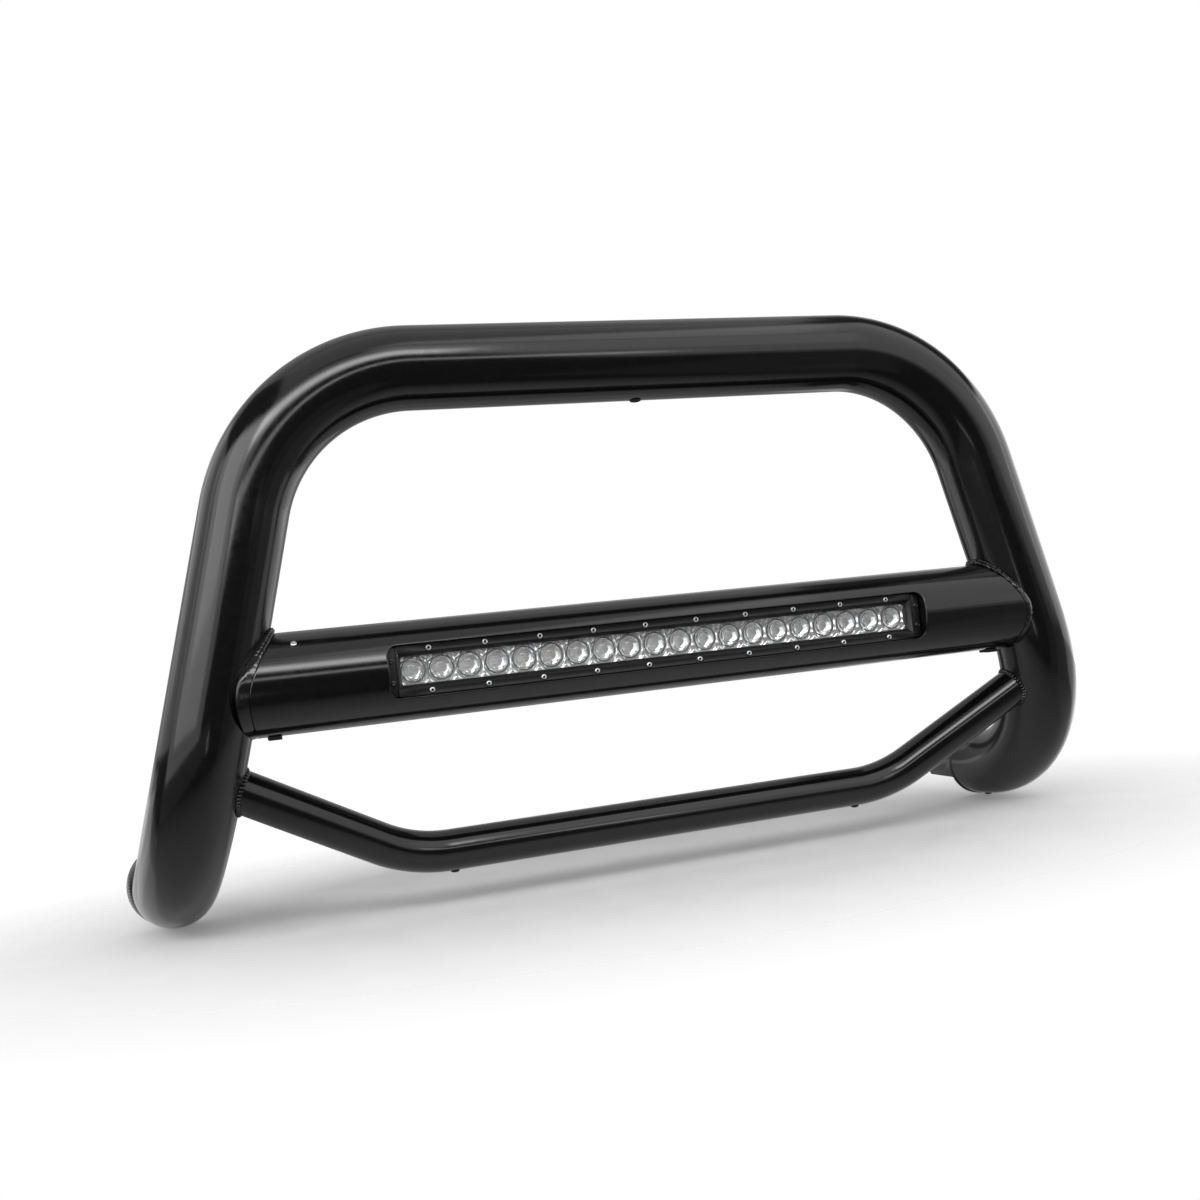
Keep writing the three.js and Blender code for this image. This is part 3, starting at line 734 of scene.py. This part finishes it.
# ---------- ends of the arms ----------
def plate_weld(side, word):
    """The fillet weld round an arm in front of its end plate, larger where the plate overhangs more,
    and twice as long on the arm as on the plate."""
    count, across, waves = 540, 10, 90
    outward, rim_left, least, root, sunk = side * END_PLATE_OUTWARD, 0.4, 1.2, 1.2, 1.0
    points = []
    for i in range(count):
        a = 2 * math.pi * i / count
        radial = np.array([math.cos(a), 0.0, math.sin(a)])
        reach = math.sqrt(END_PLATE_R ** 2 - (outward * math.sin(a)) ** 2)
        leg = max(outward * math.cos(a) + reach - HOOP_R - rim_left, least)
        ripple = abs(math.sin(math.pi * i * waves / count)) ** 0.7
        foot = np.array([side * ARM_END[0], ARM_END[1] + GAP, ARM_END[2]]) + radial * HOOP_R
        face = unit(radial * 2 - BACK)
        points.append(foot - radial * sunk + BACK * root)
        points.append(foot - radial * sunk - BACK * (2 * leg))
        for j in range(across + 1):
            f = j / across
            bulge = math.sin(math.pi * f) * (0.10 * leg + 0.22 * ripple)
            points.append(foot + radial * (leg * f) - BACK * (2 * leg * (1 - f)) + face * bulge)
        points.append(foot + radial * leg + BACK * root)
    wide = across + 4
    obj = raw_object(f"arm_weld_{word}", np.array(points), grid_faces(count, wide, wrap_rows=True))
    piece(obj, "guard", "black_powder_coat", WELD, sharp=70)


def arm_ends(side, word):
    """An arm's end plate and its weld, and the slotted mounting tab and its weld."""
    low, high = ARM_END[1] + GAP, ARM_END[1] + GAP + END_PLATE_T
    centre = (side * (ARM_END[0] + END_PLATE_OUTWARD), 0.0, ARM_END[2])
    radius, edge, corner_cut = END_PLATE_R, 0.9, 0.26
    profile = [(0, low), (radius - edge, low), (radius - corner_cut, low + corner_cut),
               (radius, low + edge), (radius, high - edge),
               (radius - corner_cut, high - corner_cut), (radius - edge, high), (0, high)]
    disc = lathe(f"arm_plate_{word}", profile, centre, (0, 1, 0), 96)
    piece(disc, "guard", "black_powder_coat", COAT, f"end_plate_{word}")
    plate_weld(side, word)

    y, h = high + GAP, TAB_HALF_H
    far = y + TAB_LENGTH
    outline = [(y, -h), (far - TAB_CHAMFER, -h), (far, -h + TAB_CHAMFER),
               (far, h - TAB_CHAMFER), (far - TAB_CHAMFER, h), (y, h)]
    x, z = side * TAB_X, ARM_END[2]
    tab = prism(f"tab_{word}", [(u, v + z) for u, v in outline], x - TAB_T / 2, x + TAB_T / 2, "x")
    holes = []
    for step in (-0.5, 0.5):
        middle = (y + TAB_LENGTH / 2 + step * SLOT_PITCH, z)
        shape = rounded_outline(SLOT_HALF_L, SLOT_HALF_W, SLOT_HALF_W - 0.01, 12, middle)
        holes.append(prism("hole", shape, x - 20, x + 20, "x"))
    cut(tab, *holes)
    bevel(tab, 0.7, 3)
    piece(tab, "guard", "black_powder_coat", COAT, f"mount_tab_{word}")
    half = TAB_T / 2
    loop = [(x + u, y, z + v) for u, v in rounded_outline(half, h, 1.2, 5)]
    loop = dense([(np.array(p), None) for p in loop + loop[:1]], 1.0)[:-1]
    out = []
    for p in loop:
        at_end = abs(p[2] - z) - (h - 0.5)
        sideways = math.copysign(1.0, p[0] - x) if at_end < 0 else 0.0
        upward = math.copysign(1.0, p[2] - z) if at_end > 0 else 0.0
        out.append(unit(np.array([sideways, 0.6, upward])))
    seam = bead(f"tab_weld_{word}", loop, np.array(out), 2.3, 0.22, 2.8)
    piece(seam, "guard", "black_powder_coat", WELD, sharp=80)


for side, word in SIDES:
    arm_ends(side, word)


# ---------- plugs, inserts and screws ----------
TOP_PLUG = (5.6, 2.2, 4.0, 6.0)        # a plug's head radius, head height, shank radius and depth
SMALL_PLUG = (4.2, 2.2, 2.7, 6.0)
ARM_PLUG_Y = ARM_END[1] - ARM_LENGTH - 6
LOWER_PLUG_X = 210.5
INSERT_X, INSERT_HALF_W, INSERT_HALF_L, INSERT_OUT = 363.0, 5.7, 8.0, 2.7
BLANK_X, BLANK_ANGLE = -342.5, math.radians(42.0)


def plug(name, seat, sizes, node):
    """A push-in rubber plug with a domed head and a barbed shank, pointing down."""
    head, height, shank, depth = sizes
    brim = 0.35
    dome = [(head * math.cos(t), -brim - (height - brim) * math.sin(t))
            for t in np.linspace(0, math.pi / 2 * 0.96, 9)]
    profile = [(0, -height)] + dome[::-1] + [
        (head * 0.98, 0.1), (head * 0.9, 0.3), (shank, 0.3), (shank, depth * 0.5),
        (shank * 1.15, depth * 0.6), (shank * 0.6, depth), (0, depth)]
    obj = lathe(name, profile, seat, (0, 0, 1), 40)
    piece(obj, "guard", "black_rubber", RUBBER, node, sharp=35)


plug("top_plug", (0, 0, HOOP_TOP_Z - HOOP_R), TOP_PLUG, "top_drain_plug")
for side, word in SIDES:
    arm_seat = (side * ARM_END[0], ARM_PLUG_Y, ARM_END[2] - HOOP_R)
    lower_seat = (side * LOWER_PLUG_X, LOWER_Y, LOWER_Z - LOWER_R)
    plug(f"arm_drain_{word}", arm_seat, SMALL_PLUG, f"arm_plug_{word}")
    plug(f"lower_drain_{word}", lower_seat, SMALL_PLUG, f"lower_plug_{word}")
    shape = rounded_outline(INSERT_HALF_W, INSERT_HALF_L, 1.2, 5, (side * INSERT_X, 0.0))
    head = prism(f"insert_{word}", shape, -CROSS_R - INSERT_OUT, -CROSS_R + 0.5, "z")
    bevel(head, 0.35, 3)
    piece(head, "guard", "black_rubber", RUBBER, f"cross_insert_{word}")


def socket_screw(name, seat, into, head, height, socket,
                 length=6.0, shank=1.5, deep=0.62, crown=0.55, shade=1.0):
    """A button-head screw with a hexagon socket. The head's underside is at the seat, deep and crown
    are shares of the head's height, and shade is how dark the painted shade in the socket is."""
    into = Vector(into).normalized()
    across = into.orthogonal().normalized()
    other = into.cross(across)
    sides, fillet, widen = 36, 0.15, 1.12
    curl, flatten = math.radians(72), 0.62
    angles = [2 * math.pi * j / sides for j in range(sides)]
    near = [(a + math.pi / 6) % (math.pi / 3) - math.pi / 6 for a in angles]
    hexagon = [socket * math.cos(math.pi / 6) / math.cos(a) for a in near]
    flank = -height * (1 - crown)
    round_rows = [(0.0, length), (shank * 0.75, length), (shank, length - 0.6), (shank, 0.0),
                  (head - fillet, 0.0), (head, -fillet), (head, flank)]
    for t in np.linspace(0.2, 1.0, 6):
        a = t * curl
        rise = height * crown * math.sin(a) / math.sin(curl)
        round_rows.append((head * math.cos(a * flatten), flank - rise))
    top = round_rows[-1][1]
    bottom = top + height * deep
    rows = [([r] * sides, level) for r, level in round_rows]
    for scale, level in ((widen, top), (1.0, top + 0.12), (0.97, bottom)):
        rows.append(([r * scale for r in hexagon], level))
    rows.append(([0.0] * sides, bottom + 0.25))
    points = [Vector(seat) + into * level + (across * math.cos(a) + other * math.sin(a)) * r
              for radii, level in rows for a, r in zip(angles, radii)]
    obj = raw_object(name, points, grid_faces(len(rows), sides))
    # Marks the socket's inside, where the steel's colour is darkened as painted shade.
    painted_socket_shade = obj.data.attributes.new("painted_socket_shade", "FLOAT", "POINT")
    for v, item in zip(obj.data.vertices, painted_socket_shade.data):
        p = Vector((np.array(v.co) - AXIS) / MM) - Vector(seat)
        level = p.dot(into)
        inside = (p - into * level).length < socket * 1.02
        item.value = shade if inside and top + 0.2 < level < 0.9 * length else 0.0
    return obj


blank_out = Vector((0.0, -math.sin(BLANK_ANGLE), math.cos(BLANK_ANGLE)))
blank_seat = Vector((BLANK_X, 0, 0)) + blank_out * (CROSS_R + 0.1)
screw = socket_screw("blank_screw", blank_seat, -blank_out, 2.7, 1.5, 0.8, deep=0.3, crown=0.4, shade=0.4)
piece(screw, "guard", "screw_steel", STEEL, "cross_blank_screw")


# ---------- the light bar ----------
def frustum(name, half, half_h, low, wide_half, wide_half_h, high):
    """A block whose two faces across Y have different sizes."""
    ends = ((low, half, half_h), (high, wide_half, wide_half_h))
    points = [(x * hx, y, z * hz) for y, hx, hz in ends for x, z in CORNERS]
    faces = [(0, 1, 2, 3), (4, 5, 6, 7), (0, 1, 5, 4), (1, 2, 6, 5), (2, 3, 7, 6), (3, 0, 4, 7)]
    return raw_object(name, points, faces)


def screw_places():
    """Where each bezel screw is, and its number: the upper row from the left, then the lower row."""
    for i in range(CELLS // 2):
        for z in (SCREW_ROW, -SCREW_ROW):
            yield (i - 4.5) * 2 * CELL, z, i + 1 + (0 if z > 0 else CELLS // 2)


def bezel():
    outside = rounded_outline(BEZEL_HALF, BEZEL_HALF_H, 1.5, 5)
    inside = rounded_outline(OPEN_HALF, OPEN_HALF_H, 1.2, 4)
    frame_piece = prism("bezel", outside, BEZEL_FRONT, BEZEL_BACK, "y")
    opening = prism("opening", inside, BEZEL_FRONT - 2, BEZEL_BACK + 2, "y")
    chamfer, steeper_at_ends, lip, past = 3.7, 1.2, 1.3, 1.3
    start = BEZEL_BACK - lip
    flare = frustum("flare", OPEN_HALF, OPEN_HALF_H, start,
                    OPEN_HALF + chamfer * past - steeper_at_ends, OPEN_HALF_H + chamfer * past,
                    start - (start - BEZEL_FRONT) * past)
    seat, sunk = 2.8, 0.45
    seat_profile = [(0, -2), (seat, -2), (seat, sunk), (0, sunk)]
    seats = [lathe("seat", seat_profile, (x, BEZEL_FRONT, z), (0, 1, 0), 28) for x, z, _ in screw_places()]
    cut(frame_piece, opening, flare, *seats)
    bevel(frame_piece, 0.22, 2, 25)
    piece(frame_piece, "light_bar", "black_alloy", ALLOY, "light_bezel", sharp=32)


bezel()
for x, z, number in screw_places():
    seat = (x, BEZEL_FRONT + SCREW_SUNK, z)
    head = socket_screw(f"bezel_bolt_{number:02d}", seat, (0, 1, 0), SCREW_HEAD_R, 1.7, 1.4)
    piece(head, "light_bar", "screw_steel", STEEL, f"bezel_screw_{number:02d}")

for side, word in SIDES:
    for z, level in ((CAP_SCREW_Z, "upper"), (-CAP_SCREW_Z, "lower")):
        seat = (side * CAP_SCREW_X, CAP_FRONT, z)
        head = socket_screw(f"cap_bolt_{word}_{level}", seat, (0, 1, 0), SCREW_HEAD_R, 1.6, 1.35)
        piece(head, "light_bar", "screw_steel", BLACK_STEEL, f"cap_screw_{word}_{level}")


def end_cap(side, word):
    """The light bar's end cover with its pivot boss, and the pivot bolt in the bracket."""
    low, high = sorted((side * CAP_INNER, side * CAP_OUTER))
    h, c = HOUSING_HALF_H, CAP_CHAMFER
    outline = [(CAP_FRONT, -h), (FIN_TIP - c, -h), (FIN_TIP, -h + c),
               (FIN_TIP, h - c), (FIN_TIP - c, h), (CAP_FRONT, h)]
    cap = prism(f"end_cover_{word}", outline, low, high, "x")
    boss_root = CAP_OUTER - 1
    boss_profile = [(0, boss_root), (CAP_BOSS_R, boss_root), (CAP_BOSS_R, CAP_BOSS), (0, CAP_BOSS)]
    boss = lathe("boss", boss_profile, (0, 0, 0), (side, 0, 0), 48)
    cut(cap, boss, join=True)
    bevel(cap, 0.6, 3, 25)
    piece(cap, "light_bar", "black_alloy", ALLOY, f"light_end_cap_{word}", sharp=32)
    bolt = socket_screw(f"pivot_{word}", (side * PIVOT_SEAT, 0, 0), (-side, 0, 0), 5.5, 5.0, 2.9,
                        length=10.8, shank=3.0, deep=0.5, crown=0.12)
    piece(bolt, "guard", "screw_steel", STEEL, f"pivot_bolt_{word}")


for side, word in SIDES:
    end_cap(side, word)


FOCUS = 5.7           # of each reflector's bowl
THROAT = 4.2          # the radius of its hole round the LED
FLUTES = 8
FLUTE_DEPTH = 0.05    # how much a flute changes the bowl's radius, as a share of it


def bowl_depth(x, z):
    """How deep a fluted parabolic bowl is at a place beside its axis."""
    r = math.hypot(x, z) * (1 + FLUTE_DEPTH * math.cos(FLUTES * math.atan2(z, x)))
    return max(REFLECTOR_BACK - r * r / (4 * FOCUS), REFLECTOR_FRONT)


def cell_x(i):
    return (i - (CELLS - 1) / 2) * CELL


def reflector_strip(strip):
    """Four square chrome cells, each with a round bowl that its square outline cuts."""
    per_side, rows = 24, 22
    half_x, half_z = CELL / 2, REFLECTOR_HALF_H
    border = []
    for (x0, z0), (x1, z1) in zip(CORNERS, CORNERS[1:] + CORNERS[:1]):
        for i in range(per_side):
            f = i / per_side
            border.append(((x0 + (x1 - x0) * f) * half_x, (z0 + (z1 - z0) * f) * half_z))
    count = len(border)
    points, faces = [], []
    for cell in range(4):
        x = cell_x(strip * 4 + cell)
        start = len(points)
        for row in range(rows + 1):
            f = row / rows
            for bx, bz in border:
                reach = math.hypot(bx, bz)
                r = THROAT + (reach - THROAT) * f
                px, pz = bx / reach * r, bz / reach * r
                points.append((x + px, bowl_depth(px, pz), pz))
        outer_back = len(points)
        points += [(x + bx, REFLECTOR_BACK, bz) for bx, bz in border]
        throat_back = len(points)
        for bx, bz in border:
            shrink = THROAT / math.hypot(bx, bz)
            points.append((x + bx * shrink, REFLECTOR_BACK, bz * shrink))
        faces += grid_faces(rows + 1, count, start=start)
        rim = start + rows * count
        for j in range(count):
            k = (j + 1) % count
            side_of = j // per_side
            between_cells = (side_of == 1 and cell < 3) or (side_of == 3 and cell > 0)
            if not between_cells:
                faces.append((rim + j, rim + k, outer_back + k, outer_back + j))
            faces.append((outer_back + j, outer_back + k, throat_back + k, throat_back + j))
            faces.append((throat_back + j, throat_back + k, start + k, start + j))
    obj = raw_object(f"reflector_cells_{strip + 1}", points, faces)
    piece(obj, "light_bar", "reflector_chrome", CHROME, f"reflector_{strip + 1}", sharp=24)


def projector_lens(i):
    """A round domed lens with a stepped front and a thin flange, standing in its cell."""
    radius, flange, top, base = 9.5, 10.0, -21.9, -17.6
    step, ledge, rim, back = 0.75, 0.35, 0.2, base + 1.0
    height = base - top
    ball = (radius ** 2 + height ** 2) / (2 * height)
    profile = []
    for f in np.linspace(0, 0.66, 12):
        r = radius * f
        profile.append((r, top + ball - math.sqrt(ball ** 2 - r * r)))
    shoulder = profile[-1][1] + step
    profile.append((radius * 0.70, shoulder))
    for f in np.linspace(0.74, 1, 6):
        swell = math.sin(math.pi * (f - 0.74) / 0.52)
        fall = 1 - math.cos(swell * math.pi / 2)
        profile.append((radius * f, shoulder - ledge + (base - shoulder + ledge) * fall))
    profile += [(flange - rim, base), (flange, base + rim), (flange, back - rim), (flange - rim, back)]
    inner = radius * 0.9
    profile += [(inner * f, back + 1.3 * (1 - f * f)) for f in (1.0, 0.75, 0.5, 0.25, 0.0)]
    return lathe(f"dome_{i}", profile, (cell_x(i), 0, 0), (0, 1, 0), 64)


def lens_shade_ring(i):
    """A thin black ring round a lens, standing for the dark shade at the lens's edge: painted shade."""
    inner, outer, front, back, edge = 10.1, 11.0, -18.2, -17.4, 0.2
    profile = [(inner, front), (outer - edge, front), (outer, front + edge),
               (outer, back - edge), (outer - edge, back), (inner, back)]
    return lathe(f"ring_{i}", profile + profile[:1], (cell_x(i), 0, 0), (0, 1, 0), 72)


for strip in range(CELLS // 4):
    reflector_strip(strip)
    # Each lens gets a thin black ring: painted shade along the lens's edge.
    shade_rings = joined(f"lens_rings_{strip + 1}", *[lens_shade_ring(strip * 4 + i) for i in range(4)])
    piece(shade_rings, "light_bar", "black_alloy", ALLOY, sharp=40)
    lenses = joined(f"projector_lenses_{strip + 1}", *[projector_lens(strip * 4 + i) for i in range(4)])
    piece(lenses, "light_bar", "lens_clear", GLASS, sharp=35)


CHIP_HALF, CHIP_FRONT, CHIP_BACK = 1.7, -11.15, -10.85
COVER_HALF, COVER_HALF_H, COVER_FRONT, COVER_BACK = 256.0, 15.1, -24.4, -22.4
VENT_X = 56.0
# The gland and the breather stand on the housing's floor, and point back.
GLAND_PROFILE = [
    (0, 0.3), (8.3, 0.3), (8.5, 0.5), (8.5, 6.9), (8.3, 7.2), (6.6, 7.4), (6.6, 8.4), (7.6, 8.6),
    (7.6, 15.0), (6.9, 17.2), (5.6, 20.4), (5.0, 21.2), (3.6, 21.3), (3.2, 20.9), (3.2, 9.3), (0, 9.3)]
VENT_PROFILE = [(0, 0.3), (4.8, 0.3), (5.0, 0.5), (5.0, 3.2), (4.3, 4.4), (3.6, 5.0), (0, 5.0)]


def rounded_chip(x):
    shape = rounded_outline(CHIP_HALF, CHIP_HALF, 0.3, 3, (x, 0.0))
    return bevel(prism("chip", shape, CHIP_FRONT, CHIP_BACK, "y"), 0.1, 2)


chips = joined("led_chips", *[rounded_chip(cell_x(i)) for i in range(CELLS)])
piece(chips, "light_bar", "board_white", BOARD)

cover_shape = rounded_outline(COVER_HALF, COVER_HALF_H, 1.0, 4)
cover = bevel(prism("cover_lens", cover_shape, COVER_FRONT, COVER_BACK, "y"), 0.3, 2)
piece(cover, "light_bar", "lens_clear", CLEAR, "clear_lens")

gland = lathe("gland", GLAND_PROFILE, (0, 0, 0), (0, 1, 0), 48)
piece(gland, "light_bar", "black_rubber", RUBBER, "cable_gland", sharp=28)
vent = lathe("vent", VENT_PROFILE, (VENT_X, 0, 0), (0, 1, 0), 40)
piece(vent, "light_bar", "black_rubber", RUBBER, "breather_vent", sharp=28)

for name, finish in (("light_housing", ALLOY), ("led_board", BOARD), ("lens_gasket", RUBBER),
                     ("end_gasket_left", RUBBER), ("end_gasket_right", RUBBER),
                     ("light_bracket_left", COAT), ("light_bracket_right", COAT)):
    node = frame["nodes"][name]
    node.data.materials.clear()
    node.data.materials.append(finish)


# ---------- the camera, in front of the guard and to its left ----------
CAMERA_AT = (-0.44366, -1.26290, -0.01798)
CAMERA_LENS, CAMERA_SENSOR = 38.684, 36.0
HEADING, PITCH, ROLL = 18.665, 1.012, -5.875    # degrees to the right, up, and about the line of sight

camera_data = bpy.data.cameras.new("camera")
camera_data.sensor_width = CAMERA_SENSOR
camera_data.lens = CAMERA_LENS
camera_data.clip_start = 0.05
camera_data.clip_end = 50.0
camera = bpy.data.objects.new("camera", camera_data)
turn = (Matrix.Rotation(math.radians(-HEADING), 4, "Z")
        @ Matrix.Rotation(math.radians(90 + PITCH), 4, "X")
        @ Matrix.Rotation(math.radians(ROLL), 4, "Z"))
camera.matrix_world = Matrix.Translation(CAMERA_AT) @ turn
bpy.context.scene.collection.objects.link(camera)
bpy.context.scene.camera = camera


# ---------- stage and light ----------
def floor():
    """A pale round floor that fades out towards its edge."""
    lowest, clear = cad_box[0].z, 0.0005
    radius, sides = 2.4, 96
    fade_start, fade_end, deeper = 0.38, 0.85, 1.9
    bm = bmesh.new()
    bmesh.ops.create_circle(bm, cap_ends=True, segments=sides, radius=radius)
    mesh = bpy.data.meshes.new("floor")
    bm.to_mesh(mesh)
    bm.free()
    obj = bpy.data.objects.new("floor", mesh)
    obj.location = (0, 0, lowest - clear)
    bpy.context.scene.collection.objects.link(obj)
    n = Nodes("floor")
    n.set(Roughness=0.9)
    n.color(n.blend(n.noise(60.0, 3.0), (0.60, 0.60, 0.60), (0.63, 0.63, 0.63)))
    squeeze = n.new("ShaderNodeMapping")
    squeeze.inputs["Scale"].default_value = (1.0, deeper, 1.0)
    n.link(n.where, squeeze.inputs["Vector"])
    length = n.new("ShaderNodeVectorMath", operation="LENGTH")
    n.link(squeeze.outputs["Vector"], length.inputs[0])
    fade = n.ramp(length.outputs["Value"], 1.0, 0.0, fade_start, fade_end)
    n.link(fade, n.shader.inputs["Alpha"])
    obj.data.materials.append(n.material)


def softbox(name, azimuth, elevation, wide, high, radiance, distance=3.0):
    """A rectangular light seen from the part in a direction, as wide and high as given in degrees.
    Azimuth 0 is straight in front of the part, and positive to the right."""
    a, e = math.radians(azimuth), math.radians(elevation)
    towards = Vector((math.sin(a) * math.cos(e), -math.cos(a) * math.cos(e), math.sin(e)))
    data = bpy.data.lights.new(name, "AREA")
    data.shape = "RECTANGLE"
    data.size = 2 * distance * math.tan(math.radians(wide) / 2)
    data.size_y = 2 * distance * math.tan(math.radians(high) / 2)
    data.energy = radiance * math.pi * data.size * data.size_y
    obj = bpy.data.objects.new(name, data)
    obj.location = towards * distance
    obj.rotation_mode = "QUATERNION"
    obj.rotation_quaternion = towards.to_track_quat("Z", "Y")
    obj.visible_camera = False
    bpy.context.scene.collection.objects.link(obj)


def world():
    """A white surround for the camera, which lights the part only dimly."""
    dimness = 0.08
    made = bpy.data.worlds.new("studio")
    made.use_nodes = True
    tree = made.node_tree
    seen = tree.nodes["Background"]
    seen.inputs["Color"].default_value = (1, 1, 1, 1)
    seen.inputs["Strength"].default_value = 1.0
    dim = tree.nodes.new("ShaderNodeBackground")
    dim.inputs["Color"].default_value = (1, 1, 1, 1)
    dim.inputs["Strength"].default_value = dimness
    path = tree.nodes.new("ShaderNodeLightPath")
    mix = tree.nodes.new("ShaderNodeMixShader")
    tree.links.new(path.outputs["Is Camera Ray"], mix.inputs[0])
    tree.links.new(dim.outputs[0], mix.inputs[1])
    tree.links.new(seen.outputs[0], mix.inputs[2])
    tree.links.new(mix.outputs[0], tree.nodes["World Output"].inputs["Surface"])
    bpy.context.scene.world = made
    bpy.context.scene.view_settings.view_transform = "Standard"


# Each light's name, azimuth, elevation, width, height and radiance.
LIGHTS = (
    ("key_high", -57, 27, 30, 30, 1.5),
    ("key_left", -58, 20, 48, 42, 1.3),
    ("key_wide", -58, 14, 70, 50, 1.1),
    ("left_soft", -116, 19, 46, 36, 0.8),
    ("left_low", -142, -22, 50, 36, 0.6),
    ("left_edge", -134, -12, 30, 22, 0.45),
    ("left_floor", -50, -17, 90, 20, 0.15),
    ("top_front_core", -14, 35, 40, 8, 4.5),
    ("top_front", -13, 35.5, 40, 15, 3.0),
    ("top_front_wide", -14, 38, 42, 24, 0.7),
    ("top_front_soft", 0, 38, 66, 26, 0.4),
    ("front_strip", -4, 14.6, 50, 5, 3.2),
    ("low_strip", -8, -16, 2.5, 10, 1.8),
    ("ceiling", 0, 76, 60, 44, 0.7),
    ("top_right", 46, 36, 64, 60, 0.72),
    ("top_right_wide", 46, 32, 60, 62, 0.4),
    ("fill_right", 62, -20, 72, 56, 0.1),
    ("fill_right_soft", 70, -18, 54, 48, 0.1),
    ("right_rim", 100, 9, 60, 30, 0.9),
    ("right_rim_wide", 104, 2, 62, 46, 0.6),
    ("right_soft", 60, 8, 36, 22, 0.2),
    ("right_low", 122, -14, 46, 30, 0.6),
    ("rear_right", 152, 5, 44, 40, 0.3),
    ("rear_left", -156, 8, 40, 36, 0.35),
    ("rear_high", 180, 35, 120, 38, 0.4),
    ("rear_top", 180, 68, 60, 30, 0.5),
    ("rear_low", 180, -38, 130, 40, 0.3),
)

floor()
world()
for light in LIGHTS:
    softbox(*light)
